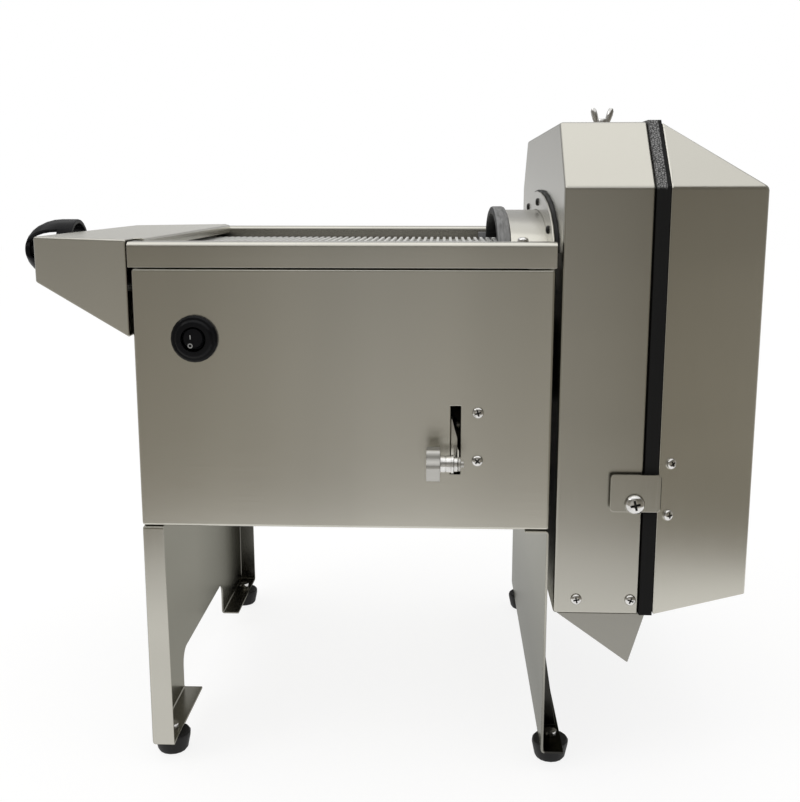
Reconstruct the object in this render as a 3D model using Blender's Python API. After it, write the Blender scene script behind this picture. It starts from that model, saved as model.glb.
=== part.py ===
"""Banana chip cutting machine: a belt-fed slicer with a turning knife disc in a hooded housing.

Metres, +Z up. X runs from the infeed nose to the cutter, Y away from the operator's side, Z up.
The steps build in the body's frame, whose origin is its lower left corner on the operator's side.
main() then shifts all of it so that the origin is the middle of the near left foot's base.
"""
import math

import bmesh
import bpy
from mathutils import Matrix, Vector

MM = 0.001

# Fits shared by the pieces
GAP = 0.3 * MM                # touching pieces stand this far apart
RUN = 0.1 * MM                # running clearance round a shaft
SIDE = 0.4 * MM               # end play beside a turning piece
SHEET = 1.5 * MM              # body sheet
BEND = 2.5 * MM               # outside radius of a folded edge
PAST = 5 * MM                 # cutting solids reach this far past a wall
SMALL_SIDES = 12
ROUND_SIDES = 16
LARGE_SIDES = 24
WHEEL_SIDES = 24

# Body
BODY_LENGTH = 340 * MM
BODY_DEPTH = 415 * MM
BODY_HEIGHT = 215 * MM
PANEL_RETURN = 12 * MM        # folded edge of the front panel
MIDDLE = BODY_DEPTH / 2

# Trough on top of the body
RAIL_TOP = BODY_HEIGHT + 21 * MM
RAIL_WIDTH = 25 * MM
RAIL_PROUD = 1 * MM
RAIL_OVERHANG = 2 * MM
RAIL_BEND = 4 * MM
TROUGH_FLOOR = BODY_HEIGHT + 4.7 * MM     # top of the floor that the belt slides on

# Conveyor belt and rollers
BELT_WEB = 2 * MM
BELT_SIDES = 12
RIB_HEIGHT = 3 * MM
RIB_WIDTH = 3.4 * MM
RIB_PITCH = 6.8 * MM
RIB_DRAFT = 0.4 * MM
BELT_MARGIN = 44 * MM         # from the body's side to the belt's edge
ROLLER_MARGIN = BELT_MARGIN - 3 * MM
DRIVE_ROLLER_R = 22 * MM
DRIVE_ROLLER_X = BODY_LENGTH - 35 * MM
DRIVE_JOURNAL_NEAR = 13 * MM
DRIVE_JOURNAL_FAR = BELT_MARGIN - 11 * MM
TAIL_ROLLER_R = 10 * MM
TAIL_ROLLER_X = -40 * MM
JOURNAL_R = 6 * MM
BLOCK_HALF = 15 * MM
BLOCK_TOP = RAIL_TOP - 6 * MM
YOKE_BAR = 5 * MM
YOKE_ARM = 6 * MM
YOKE_END = 5 * MM             # its arms reach this far past the journals
YOKE_LOW = TROUGH_FLOOR - 19.7 * MM
YOKE_HIGH = TROUGH_FLOOR + 8.3 * MM
YOKE_REACH = 18 * MM          # crossbar's inner face from the tail roller's axis

# Infeed nose
NOSE_LENGTH = 93.5 * MM
NOSE_TAPER = 52 * MM          # each side in plan
NOSE_END_DROP = 38.5 * MM     # height of the small end
NOSE_BODY_DROP = 78.5 * MM    # height where it meets the body
NOSE_SEAM = 1.4 * MM          # its big end stands this far off the rails
NOSE_TONGUE = 9 * MM          # its top reaches this far in between the rails
NOSE_LIP = 9 * MM             # and is folded down by this much over the belt
NOSE_BEND = 2 * MM

# Take-up handwheel
WHEEL_R = 30 * MM
WHEEL_DEPTH = 54 * MM
WHEEL_RIM = 16 * MM           # straight part of its side
WHEEL_DOME = 72               # degrees of its rounded part
WHEEL_OFF = 12 * MM           # rim's distance from the nose
WHEEL_WALL = 4 * MM
WHEEL_HUB_WALL = 4 * MM
WHEEL_FACE = 6 * MM           # thickness at its middle
WHEEL_HUB = 22 * MM
WHEEL_WINDOWS = 3
WINDOW_ANGLE = 66
WINDOW_START = 110
SCREW_Z = BODY_HEIGHT + 3.5 * MM
SCREW_R = 4.2 * MM

# Stands and feet
STAND_SHEET = 2 * MM
STAND_BEND = 2.6 * MM
STAND_DROP = 200 * MM         # body underside to the foot flange's underside
STAND_FLANGE = 19.5 * MM
STAND_LEDGE = 18 * MM         # top flange under the body
NOTCH_FROM = 113 * MM
NOTCH_TO = BODY_DEPTH - 112 * MM
NOTCH_HEIGHT = 38 * MM
NOTCH_FILLET = 14 * MM
WEB_HEIGHT = 92 * MM          # triangular web on the right stand's floor flange
WEB_Y = 48 * MM
FOOT_SIDES = 16
FOOT_HEIGHT = 18 * MM
FOOT_TOP_R = 16 * MM
FOOT_BASE_R = 12 * MM
FOOT_INSET = 30 * MM
FOOT_BORE = 9 * MM
BOLT_HEAD_R = 5.5 * MM
BOLT_HEAD = 4.2 * MM
BOLT_SHANK_R = 2.9 * MM

# Cutter housing and cover
HOUSING_X = BODY_LENGTH + 5 * MM
HOUSING_WIDTH = 71 * MM
HOUSING_DEPTH = BODY_DEPTH + 35 * MM
HOUSING_BOTTOM = -72 * MM
HOUSING_TOP = BODY_HEIGHT + 116 * MM
CHAMFER = 52 * MM
RIM_FLANGE = 13 * MM
GASKET_WIDTH = 10.6 * MM
GASKET_PROUD = 1.5 * MM
GASKET_RIM = RIM_FLANGE - 4 * MM
COVER_LENGTH = 91 * MM
COVER_TAPER = 52 * MM
COVER_RIM = RIM_FLANGE - 3 * MM
DROP_MARGIN = 12 * MM         # opening in the housing's bottom from its front and back
DROP_FROM = 8 * MM
DROP_TO = 6 * MM
CHUTE_X = HOUSING_X + 3 * MM
CHUTE_DROP = 44 * MM
CHUTE_REACH = 61 * MM
CHUTE_MOUTH = 74 * MM
CHUTE_INSET = 3 * MM

# Cover hinge and latch
HINGE_R = 4 * MM
HINGE_PIN_R = 2 * MM
HINGE_HEIGHT = 240 * MM
HINGE_Z = 20 * MM
HINGE_BACK = 5.5 * MM         # axis from the cover's edge
HINGE_OFF = GASKET_PROUD + 0.7 * MM
KNUCKLES = 5
LEAF_WIDTH = 26 * MM
LEAF_THICK = 2 * MM
LATCH_X = HOUSING_X + 43 * MM
LATCH_Z = 18.5 * MM
LATCH_HEIGHT = 31.5 * MM
LATCH_CORNER = 3 * MM
LATCH_STANDOFF = 5 * MM
LATCH_LEG = 1.6 * MM
LATCH_SCREW_X = HOUSING_X + 63 * MM
LATCH_SCREW_Z = 25.5 * MM
LATCH_HEAD = 5 * MM
LATCH_HEAD_R = 8.2 * MM
LATCH_SHANK_R = 3.9 * MM

# Inlet
INLET_BASE = BODY_HEIGHT + 11 * MM        # the arch springs from here
INLET_HALF = MIDDLE - 74.5 * MM
INLET_RISE = 32 * MM
ARCH_STEPS = 14
TUBE_X = HOUSING_X - 36 * MM
TRIM_LENGTH = 12 * MM
TRIM_PROUD = 3.2 * MM
FLANGE_HALF = MIDDLE - 29.5 * MM
FLANGE_RISE = 51 * MM
FLANGE_THICK = 2 * MM
PACKING_PROUD = 1.4 * MM
INLET_PACKING = 2.4 * MM

# Wing nut on the housing
WING_X = HOUSING_X + 58 * MM
WING_Y = HOUSING_DEPTH / 2
WING_STUD_R = 3 * MM
WING_STUD_LENGTH = 13 * MM
WING_NUT_R = 7 * MM
WING_NUT_TOP_R = 5.4 * MM
WING_NUT_HEIGHT = 9 * MM
WING_SPAN = 12 * MM
WING_THICK = 2.8 * MM
WING_END_R = 3.6 * MM

# Cutter disc and its shaft
SHAFT_Y = HOUSING_DEPTH / 2
SHAFT_Z = BODY_HEIGHT - 105 * MM
SHAFT_R = 10 * MM
SHAFT_CLEAR = 4 * MM          # round the shaft in the housing and the bearing housing
DISC_R = 165 * MM
DISC_SIDES = 36
DISC_THICK = 4 * MM
DISC_X = HOUSING_X + 7 * MM
HUB_R = 26 * MM
HUB_TOP_R = 24 * MM
HUB_LENGTH = 16 * MM
WINDOW_WIDTH = 11 * MM
DISC_KNIVES = 2
FIRST_KNIFE = math.radians(25)
NUT_R = 11 * MM
NUT_LENGTH = 9 * MM
THREAD_R = 6 * MM
THREAD_PAST = 3 * MM
KNIFE_LENGTH = 112 * MM
KNIFE_WIDTH = 30 * MM
KNIFE_THICK = 1.6 * MM
KNIFE_START = 42 * MM
KNIFE_EDGE = 1.5 * MM         # its edge stands this far from the middle of the window
KNIFE_BEVEL = 4 * MM
KNIFE_FLAT = 0.3 * MM
BEARING_R = 21 * MM
BEARING_LENGTH = 14 * MM
BEARING_HOUSING_R = 28 * MM
BEARING_HOUSING_X = HOUSING_X - 95 * MM
BEARING_FLANGE_R = 40 * MM

# Main drive
PULLEY_X = BODY_LENGTH - 140 * MM
PULLEY_WIDTH = 16 * MM
SHAFT_PAST_PULLEY = 14 * MM
CUTTER_PULLEY_R = 45 * MM
MOTOR_PULLEY_R = 25 * MM
GROOVE = 5 * MM
GROOVE_HALF = 4 * MM
DRIVE_BELT_HALF = 3.6 * MM
MOTOR_Y = BODY_DEPTH - 93 * MM
MOTOR_Z = 56 * MM
MOTOR_R = 48 * MM
MOTOR_X = PULLEY_X - 138 * MM
MOTOR_LENGTH = 112 * MM
MOTOR_SHAFT_R = 7 * MM
MOTOR_BOSS_R = 13 * MM
MOTOR_BOSS = 4 * MM
MOTOR_FRONT_R = 38 * MM
MOTOR_BACK_R = 34 * MM
MOTOR_FOOT_INSET = 24 * MM
MOTOR_FOOT_HEIGHT = 22 * MM

# Feed drive
GEARMOTOR_X = BODY_LENGTH - 72 * MM
GEARMOTOR_Z = BODY_HEIGHT - 97 * MM
GEARMOTOR_SIDE = 60 * MM
GEARBOX_LENGTH = 44 * MM
GEARMOTOR_R = 25 * MM
GEARMOTOR_LENGTH = 46 * MM
GEARMOTOR_SHAFT_R = 5 * MM
BRACKET_Y = BODY_DEPTH - 31 * MM
BRACKET_SHEET = 3 * MM
BRACKET_FOOT = 36 * MM
BRACKET_TOP = 6 * MM          # above the gearbox
SPROCKET_Y = BODY_DEPTH - 22 * MM
SPROCKET_WIDTH = 5 * MM
SMALL_SPROCKET_R = 14 * MM
LARGE_SPROCKET_R = 18 * MM
CHAIN_THICK = 4 * MM
TOOTH = 3 * MM
SMALL_TEETH = 10
LARGE_TEETH = 14

# Feed lever in its slot
SLOT_X = BODY_LENGTH - 78 * MM
SLOT_WIDTH = 8.4 * MM
SLOT_LOW = 47 * MM
SLOT_HIGH = 104.5 * MM
LEVER_PIVOT_Y = 78 * MM
LEVER_PIVOT_Z = 72 * MM
LEVER_PIN_R = 4 * MM
LEVER_PIN_HEAD_R = 6.5 * MM
LEVER_KNOB_Y = -30 * MM
LEVER_KNOB_Z = 63.5 * MM
LEVER_THICK = 3 * MM
LEVER_WIDTH = 12 * MM
LEVER_BRACKET_OFF = 3 * MM
LEVER_BRACKET_SHEET = 2 * MM
LEVER_BRACKET_LOW = SLOT_LOW + 4 * MM
LEVER_BRACKET_TAB = 24 * MM
KNOB_R = 14.2 * MM
KNOB_LENGTH = 11 * MM
KNOB_HUB_R = 6.3 * MM
KNOB_HUB_LENGTH = 10.5 * MM
KNOB_LOBES = 6
KNOB_LOBE_STEPS = 6
KNOB_LOBE_DEPTH = 2.2 * MM
KNOB_SCREW_R = 2.8 * MM
KNOB_SCREW_PAST = 5 * MM
KNOB_WASHER_R = 5.7 * MM
KNOB_WASHER = 2.4 * MM

# Rocker switch
SWITCH_X = 50.5 * MM
SWITCH_Z = BODY_HEIGHT - 56.5 * MM
SWITCH_R = 19.2 * MM
SWITCH_SIDES = 24
SWITCH_HOLE_R = 13 * MM
SWITCH_BEHIND = 22 * MM
SWITCH_PROUD = 7 * MM
ROCKER_R = 9.6 * MM
ROCKER_CLEAR = 0.6 * MM
ROCKER_SEAT = 3 * MM
ROCKER_TILT = math.radians(8)

# Cord gland in the back
GLAND_X = 60 * MM
GLAND_Z = 40 * MM
GLAND_R = 10 * MM
GLAND_NECK_R = 7.5 * MM
GLAND_BORE_R = 4 * MM
GLAND_NUT = 9 * MM
GLAND_CAP = 8 * MM
GLAND_TIP = 15 * MM
GLAND_TIP_R = 7 * MM


def material(name, colour, roughness, metallic=0.0):
    """One Principled finish."""
    mat = bpy.data.materials.get(name) or bpy.data.materials.new(name)
    mat.use_nodes = True
    shader = mat.node_tree.nodes["Principled BSDF"]
    shader.inputs["Base Color"].default_value = (*colour, 1.0)
    shader.inputs["Roughness"].default_value = roughness
    shader.inputs["Metallic"].default_value = metallic
    return mat


def steel(name="brushed_stainless"):
    return material(name, (0.52, 0.50, 0.46), 0.32, 1.0)


def bright():
    return material("bright_steel", (0.74, 0.73, 0.71), 0.18, 1.0)


def rubber():
    return material("black_rubber", (0.02, 0.02, 0.02), 0.6)


def plastic():
    return material("black_plastic", (0.015, 0.015, 0.016), 0.28)


def finish(name, bm, mat, origin=(0, 0, 0), smooth=True):
    """Turns a bmesh made in world space into an object whose origin is at origin."""
    bmesh.ops.recalc_face_normals(bm, faces=bm.faces)
    mesh = bpy.data.meshes.new(name)
    bmesh.ops.translate(bm, verts=bm.verts, vec=-Vector(origin))
    bm.to_mesh(mesh)
    bm.free()
    if smooth:
        mesh.shade_smooth()
        mesh.set_sharp_from_angle(angle=math.radians(34))
    obj = bpy.data.objects.new(name, mesh)
    obj.location = origin
    bpy.context.scene.collection.objects.link(obj)
    mesh.materials.append(mat)
    return obj


def place(axis, a, b, along):
    """A point from its two outline values and its distance along the axis."""
    return {"X": (along, a, b), "Y": (a, along, b), "Z": (a, b, along)}[axis]


def prism_mesh(outline, axis, low, high):
    """A bmesh of an outline pushed from low to high along an axis."""
    bm = bmesh.new()
    ends = [[bm.verts.new(place(axis, a, b, level)) for a, b in outline] for level in (low, high)]
    bm.faces.new(ends[0])
    bm.faces.new(list(reversed(ends[1])))
    for i in range(len(outline)):
        j = (i + 1) % len(outline)
        bm.faces.new((ends[0][i], ends[0][j], ends[1][j], ends[1][i]))
    return bm


def prism(name, outline, axis, low, high, mat, origin=(0, 0, 0)):
    return finish(name, prism_mesh(outline, axis, low, high), mat, origin)


def turned_mesh(profile, axis, centre, sides):
    """A closed profile of (radius, along) points turned about an axis through centre (two values)."""
    bm = bmesh.new()
    rings = []
    for radius, along in profile:
        if radius < 1e-7:
            rings.append([bm.verts.new(place(axis, centre[0], centre[1], along))])
            continue
        ring = []
        for i in range(sides):
            turn = 2 * math.pi * i / sides
            a = centre[0] + radius * math.cos(turn)
            b = centre[1] + radius * math.sin(turn)
            ring.append(bm.verts.new(place(axis, a, b, along)))
        rings.append(ring)
    for k in range(len(rings)):
        one, two = rings[k], rings[(k + 1) % len(rings)]
        if len(one) == 1 and len(two) == 1:
            continue
        for i in range(sides):
            j = (i + 1) % sides
            corners = [one[i % len(one)], one[j % len(one)], two[j % len(two)], two[i % len(two)]]
            kept = [v for n, v in enumerate(corners) if v not in corners[:n]]
            bm.faces.new(kept)
    return bm


def turned(name, profile, axis, centre, mat, sides=ROUND_SIDES, origin=None):
    if origin is None:
        origin = place(axis, centre[0], centre[1], profile[0][1])
    return finish(name, turned_mesh(profile, axis, centre, sides), mat, origin)


def shell(name, points, faces, inside, mat, thickness=SHEET, bend=BEND, origin=(0, 0, 0)):
    """A folded sheet: an open surface rounded at its folds and thickened towards inside."""
    bm = bmesh.new()
    verts = [bm.verts.new(p) for p in points]
    for face in faces:
        bm.faces.new([verts[i] for i in face])
    bmesh.ops.recalc_face_normals(bm, faces=bm.faces)
    lean = sum((f.calc_center_median() - Vector(inside)).dot(f.normal) * f.calc_area() for f in bm.faces)
    if lean < 0:
        bmesh.ops.reverse_faces(bm, faces=bm.faces)
    mesh = bpy.data.meshes.new(name)
    bmesh.ops.translate(bm, verts=bm.verts, vec=-Vector(origin))
    bm.to_mesh(mesh)
    bm.free()
    obj = bpy.data.objects.new(name, mesh)
    obj.location = origin
    bpy.context.scene.collection.objects.link(obj)
    mesh.materials.append(mat)
    if bend:
        fold = obj.modifiers.new("Fold", "BEVEL")
        fold.width = bend
        fold.segments = 2
        fold.limit_method = "ANGLE"
        fold.angle_limit = math.radians(20)
    sheet = obj.modifiers.new("Sheet", "SOLIDIFY")
    sheet.thickness = thickness
    sheet.offset = -1
    sheet.use_even_offset = True
    return obj


def cut(obj, bm, name):
    """Cuts the solid of a bmesh out of an object."""
    bmesh.ops.recalc_face_normals(bm, faces=bm.faces)
    mesh = bpy.data.meshes.new(name)
    bmesh.ops.translate(bm, verts=bm.verts, vec=-obj.location)
    bm.to_mesh(mesh)
    bm.free()
    cutter = bpy.data.objects.new(name, mesh)
    cutter.location = obj.location
    cutter.hide_render = True
    cutter.display_type = "WIRE"
    bpy.context.scene.collection.objects.link(cutter)
    hole = obj.modifiers.new(name, "BOOLEAN")
    hole.operation = "DIFFERENCE"
    hole.solver = "EXACT"
    hole.object = cutter
    return cutter


def box_mesh(low, high):
    outline = [(low[0], low[1]), (high[0], low[1]), (high[0], high[1]), (low[0], high[1])]
    return prism_mesh(outline, "Z", low[2], high[2])


def rod_mesh(axis, centre, radius, low, high, sides=ROUND_SIDES):
    outline = [(centre[0] + radius * math.cos(2 * math.pi * i / sides),
                centre[1] + radius * math.sin(2 * math.pi * i / sides)) for i in range(sides)]
    return prism_mesh(outline, axis, low, high)


def arc(centre, radius, start, end, steps):
    """Points of an arc in degrees, both ends included. radius may be a pair for an ellipse."""
    rx, ry = radius if isinstance(radius, tuple) else (radius, radius)
    turns = [math.radians(start + (end - start) * i / steps) for i in range(steps + 1)]
    return [(centre[0] + rx * math.cos(t), centre[1] + ry * math.sin(t)) for t in turns]


def folded(path, thickness, bend=BEND, steps=2):
    """Closed outline of a sheet whose left side follows path, with rounded folds."""
    points = [Vector(p) for p in path]
    left, right = [], []
    for i, p in enumerate(points):
        before = (p - points[i - 1]).normalized() if i else None
        after = (points[i + 1] - p).normalized() if i < len(points) - 1 else None
        if before is None or after is None:
            along = before or after
            side = Vector((along.y, -along.x))
            left.append(p)
            right.append(p + side * thickness)
            continue
        turn = before.x * after.y - before.y * after.x
        outside = bend if turn < 0 else max(bend - thickness, 0.2 * MM)
        reach = outside * math.tan(abs(math.atan2(turn, before.dot(after))) / 2)
        first, last = p - before * reach, p + after * reach
        towards = 1 if turn > 0 else -1
        centre = first + Vector((-before.y, before.x)) * towards * outside
        total = math.atan2(turn, before.dot(after))
        for k in range(steps + 1):
            spoke = Matrix.Rotation(total * k / steps, 2) @ (first - centre)
            left.append(centre + spoke)
            scale = (outside + towards * thickness) / outside
            right.append(centre + spoke * scale)
    return [tuple(p) for p in left] + [tuple(p) for p in reversed(right)]


def loop_outline(wheels, steps):
    """Outside line of a belt round two wheels, each (centre, radius), as a closed list of points."""
    (one, r1), (two, r2) = [(Vector(c), r) for c, r in wheels]
    line = two - one
    heading = math.atan2(line.y, line.x)
    lean = math.acos((r1 - r2) / line.length)
    points = []
    for centre, radius, start, end in ((one, r1, heading + lean, heading + 2 * math.pi - lean),
                                       (two, r2, heading - lean, heading + lean)):
        for k in range(steps + 1):
            turn = start + (end - start) * k / steps
            points.append((centre.x + radius * math.cos(turn), centre.y + radius * math.sin(turn)))
    return points


def band(name, outer, inner, axis, low, high, mat, origin=(0, 0, 0)):
    """A closed band between two outlines that have the same number of points."""
    bm = bmesh.new()
    rings = [[bm.verts.new(place(axis, a, b, level)) for a, b in line]
             for line, level in ((outer, low), (outer, high), (inner, high), (inner, low))]
    for k in range(4):
        one, two = rings[k], rings[(k + 1) % 4]
        for i in range(len(outer)):
            j = (i + 1) % len(outer)
            bm.faces.new((one[i], one[j], two[j], two[i]))
    return finish(name, bm, mat, origin)


def arch(half, rise, base=INLET_BASE, steps=ARCH_STEPS):
    """Half-ellipse arch as (y, z) from the far side over the top to the near side."""
    return arc((MIDDLE, base), (half, rise), 0, 180, steps)


def front_panel():
    l, h, r = BODY_LENGTH, BODY_HEIGHT, PANEL_RETURN
    pts = [(0, 0, 0), (l, 0, 0), (l, 0, h), (0, 0, h), (0, r, 0), (l, r, 0), (l, r, h), (0, r, h)]
    faces = [(0, 1, 2, 3), (0, 4, 5, 1), (1, 5, 6, 2), (2, 6, 7, 3), (3, 7, 4, 0)]
    panel = shell("front_panel", pts, faces, (l / 2, r, h / 2), steel())
    slot = [(SLOT_X - SLOT_WIDTH / 2, SLOT_LOW), (SLOT_X + SLOT_WIDTH / 2, SLOT_LOW),
            (SLOT_X + SLOT_WIDTH / 2, SLOT_HIGH), (SLOT_X - SLOT_WIDTH / 2, SLOT_HIGH)]
    cut(panel, prism_mesh(slot, "Y", -r, r - 2 * MM), "lever_slot_cut")
    cut(panel, rod_mesh("Y", (SWITCH_X, SWITCH_Z), SWITCH_HOLE_R + GAP, -r, r - 2 * MM), "switch_hole_cut")


def body_frame():
    l, d, h = BODY_LENGTH, BODY_DEPTH, BODY_HEIGHT
    y = PANEL_RETURN + GAP
    pts = [(0, y, 0), (0, d, 0), (l, d, 0), (l, y, 0), (0, y, h), (0, d, h), (l, d, h), (l, y, h)]
    frame = shell("body_frame", pts, [(0, 1, 5, 4), (1, 2, 6, 5), (2, 3, 7, 6)], (l / 2, y, h / 2), steel())
    edge = BELT_MARGIN - PAST
    entry, leave = RAIL_TOP - NOSE_BODY_DROP + 4 * MM, h - DRIVE_ROLLER_R
    cut(frame, box_mesh((-PAST, edge, entry), (PAST, d - edge, h + PAST)), "belt_entry_cut")
    cut(frame, box_mesh((l - PAST, edge, leave), (l + PAST, d - edge, h + PAST)), "belt_exit_cut")
    bearing = rod_mesh("X", (SHAFT_Y, SHAFT_Z), BEARING_HOUSING_R + GAP, l - PAST, l + PAST, LARGE_SIDES)
    cut(frame, bearing, "frame_bearing_cut")
    cut(frame, rod_mesh("Y", (GLAND_X, GLAND_Z), GLAND_NECK_R + GAP, d - PAST, d + PAST), "gland_cut")


def base_plate():
    y = PANEL_RETURN + GAP
    inset = SHEET + GAP
    low, high = (inset, y, 0), (BODY_LENGTH - inset, BODY_DEPTH - inset - 1.2 * MM, SHEET)
    finish("base_plate", box_mesh(low, high), steel())


def feed_trough():
    """One bent sheet: front rail, floor and back rail."""
    lip = BODY_HEIGHT + 2 * GAP
    near, far = -RAIL_PROUD, BODY_DEPTH + RAIL_PROUD
    path = [(near, lip), (near, RAIL_TOP), (RAIL_WIDTH, RAIL_TOP), (RAIL_WIDTH, TROUGH_FLOOR),
            (BODY_DEPTH - RAIL_WIDTH, TROUGH_FLOOR), (BODY_DEPTH - RAIL_WIDTH, RAIL_TOP), (far, RAIL_TOP),
            (far, lip)]
    outline = folded(path, SHEET, RAIL_BEND, 3)
    trough = prism("feed_trough", outline, "X", -RAIL_OVERHANG, BODY_LENGTH + 1 * MM, steel())
    inside = (RAIL_WIDTH + 0.1 * MM, BODY_DEPTH - RAIL_WIDTH - 0.1 * MM)
    low, high = TROUGH_FLOOR - PAST, RAIL_TOP + PAST
    tail = TAIL_ROLLER_X + 60 * MM
    cut(trough, box_mesh((-PAST, inside[0], low), (tail, inside[1], high)), "tail_clearance_cut")
    head = DRIVE_ROLLER_X - 30 * MM
    cut(trough, box_mesh((head, inside[0], low), (BODY_LENGTH + PAST, inside[1], high)), "head_clearance_cut")


def nose_ends():
    """X of the nose's big and small ends."""
    right = -RAIL_OVERHANG - NOSE_SEAM
    return right, right - NOSE_LENGTH


def nose_hood():
    top = RAIL_TOP + GAP + SHEET
    right, left = nose_ends()
    near, far = -RAIL_PROUD, BODY_DEPTH + RAIL_PROUD
    t, tongue = NOSE_TAPER, right + NOSE_TONGUE
    inner, outer = RAIL_WIDTH + 1 * MM, BODY_DEPTH - RAIL_WIDTH - 1 * MM
    pts = [(left, near + t, top), (right, near, top), (right, inner, top), (tongue, inner, top),
           (tongue, outer, top), (right, outer, top), (right, far, top), (left, far - t, top),
           (left, near + t, top - NOSE_END_DROP), (right, near, top - NOSE_BODY_DROP),
           (right, far, top - NOSE_BODY_DROP), (left, far - t, top - NOSE_END_DROP),
           (tongue, inner, top - NOSE_LIP), (tongue, outer, top - NOSE_LIP)]
    faces = [(0, 1, 2, 3, 4, 5, 6, 7), (0, 8, 9, 1), (8, 11, 10, 9), (7, 6, 10, 11), (0, 7, 11, 8),
             (3, 12, 13, 4)]
    inside = ((left + right) / 2, MIDDLE, top - NOSE_END_DROP / 2)
    hood = shell("nose_hood", pts, faces, inside, steel(), bend=NOSE_BEND)
    cut(hood, rod_mesh("X", (MIDDLE, SCREW_Z), SCREW_R + RUN, left - PAST, left + PAST), "takeup_hole_cut")


def belt_line(offset):
    """Belt path as wheels, at a distance outside the rollers."""
    tail = ((TAIL_ROLLER_X, TROUGH_FLOOR - TAIL_ROLLER_R), TAIL_ROLLER_R + GAP + offset)
    head = ((DRIVE_ROLLER_X, TROUGH_FLOOR - DRIVE_ROLLER_R), DRIVE_ROLLER_R + GAP + offset)
    return tail, head


def conveyor_belt():
    """Ribbed loop: ribs are set out at an even pitch along the web's outside line."""
    inner = loop_outline(belt_line(0.0), BELT_SIDES)
    web = [Vector(p) for p in loop_outline(belt_line(BELT_WEB), BELT_SIDES)]
    lengths = [(web[(i + 1) % len(web)] - web[i]).length for i in range(len(web))]
    total = sum(lengths)
    count = round(total / RIB_PITCH)
    pitch = total / count

    def at(s):
        s %= total
        for i, step in enumerate(lengths):
            if s <= step:
                a, b = web[i], web[(i + 1) % len(web)]
                along = (b - a).normalized()
                return a + along * s, Vector((along.y, -along.x))
            s -= step
        return web[0], Vector((0, 1))

    outer = []
    for n in range(count):
        start = n * pitch + RIB_DRAFT
        for s, rise in ((start, 0), (start + RIB_DRAFT, RIB_HEIGHT),
                        (start + RIB_WIDTH - RIB_DRAFT, RIB_HEIGHT), (start + RIB_WIDTH, 0)):
            point, out = at(s)
            outer.append(tuple(point + out * rise))
    bm = bmesh.new()
    near, far = BELT_MARGIN, BODY_DEPTH - BELT_MARGIN
    rings = [[bm.verts.new((a, y, b)) for a, b in line] for line in (outer, inner) for y in (near, far)]
    for one, two in ((rings[0], rings[1]), (rings[2], rings[3])):
        for i in range(len(one)):
            j = (i + 1) % len(one)
            bm.faces.new((one[i], one[j], two[j], two[i]))
    for one, two in ((rings[0], rings[2]), (rings[1], rings[3])):
        edges = [bm.edges.get((r[i], r[(i + 1) % len(r)])) for r in (one, two) for i in range(len(r))]
        bmesh.ops.triangle_fill(bm, use_beauty=True, use_dissolve=False, edges=edges)
    finish("conveyor_belt", bm, material("white_belt", (0.86, 0.86, 0.83), 0.5), smooth=False)


def roller(name, x, radius, journal_out):
    """Roller with stepped journals that run in its two blocks."""
    z = TROUGH_FLOOR - radius
    near, far = ROLLER_MARGIN, BODY_DEPTH - ROLLER_MARGIN
    start, end = near - journal_out[0], far + journal_out[1]
    profile = [(0, start), (JOURNAL_R, start), (JOURNAL_R, near), (radius, near),
               (radius, far), (JOURNAL_R, far), (JOURNAL_R, end), (0, end)]
    turned(name, profile, "Y", (x, z), bright(), LARGE_SIDES, origin=(x, MIDDLE, z))


def join(obj, bm, name):
    """Joins the solid of a bmesh to an object."""
    cut(obj, bm, name)
    obj.modifiers[name].operation = "UNION"


def rollers():
    roller("drive_roller", DRIVE_ROLLER_X, DRIVE_ROLLER_R, (DRIVE_JOURNAL_NEAR, DRIVE_JOURNAL_FAR))
    roller("tail_roller", TAIL_ROLLER_X, TAIL_ROLLER_R, (YOKE_ARM, YOKE_ARM))
    x, z, h = DRIVE_ROLLER_X, TROUGH_FLOOR - DRIVE_ROLLER_R, BLOCK_HALF
    wall, end = RAIL_WIDTH + GAP, ROLLER_MARGIN - SIDE
    for name, low, high in (("drive_block_near", wall, end),
                            ("drive_block_far", BODY_DEPTH - end, BODY_DEPTH - wall)):
        body = finish(name, box_mesh((x - h, low, z - h), (x + h, high, BLOCK_TOP)), dark_grey())
        bore = rod_mesh("Y", (x, z), JOURNAL_R + RUN, low - h, high + h, LARGE_SIDES)
        cut(body, bore, name + "_bore_cut")


def dark_grey():
    return material("grey_casting", (0.22, 0.22, 0.23), 0.5)


def takeup_yoke():
    """Fork that holds the tail roller and is drawn by the take-up screw."""
    bar = TAIL_ROLLER_X - YOKE_REACH
    end = TAIL_ROLLER_X + JOURNAL_R + YOKE_END
    inner = ROLLER_MARGIN - SIDE
    near, far = inner - YOKE_ARM, BODY_DEPTH - inner + YOKE_ARM
    fork = [(bar - YOKE_BAR, near), (end, near), (end, inner), (bar, inner),
            (bar, BODY_DEPTH - inner), (end, BODY_DEPTH - inner), (end, far), (bar - YOKE_BAR, far)]
    yoke = prism("takeup_yoke", fork, "Z", YOKE_LOW, YOKE_HIGH, dark_grey())
    centre = (TAIL_ROLLER_X, TROUGH_FLOOR - TAIL_ROLLER_R)
    bore = rod_mesh("Y", centre, JOURNAL_R + RUN, near - PAST, far + PAST, LARGE_SIDES)
    cut(yoke, bore, "yoke_bore_cut")
    screw = rod_mesh("X", (MIDDLE, SCREW_Z), SCREW_R + RUN, bar - YOKE_BAR - PAST, bar + PAST)
    cut(yoke, screw, "yoke_screw_cut")


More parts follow.
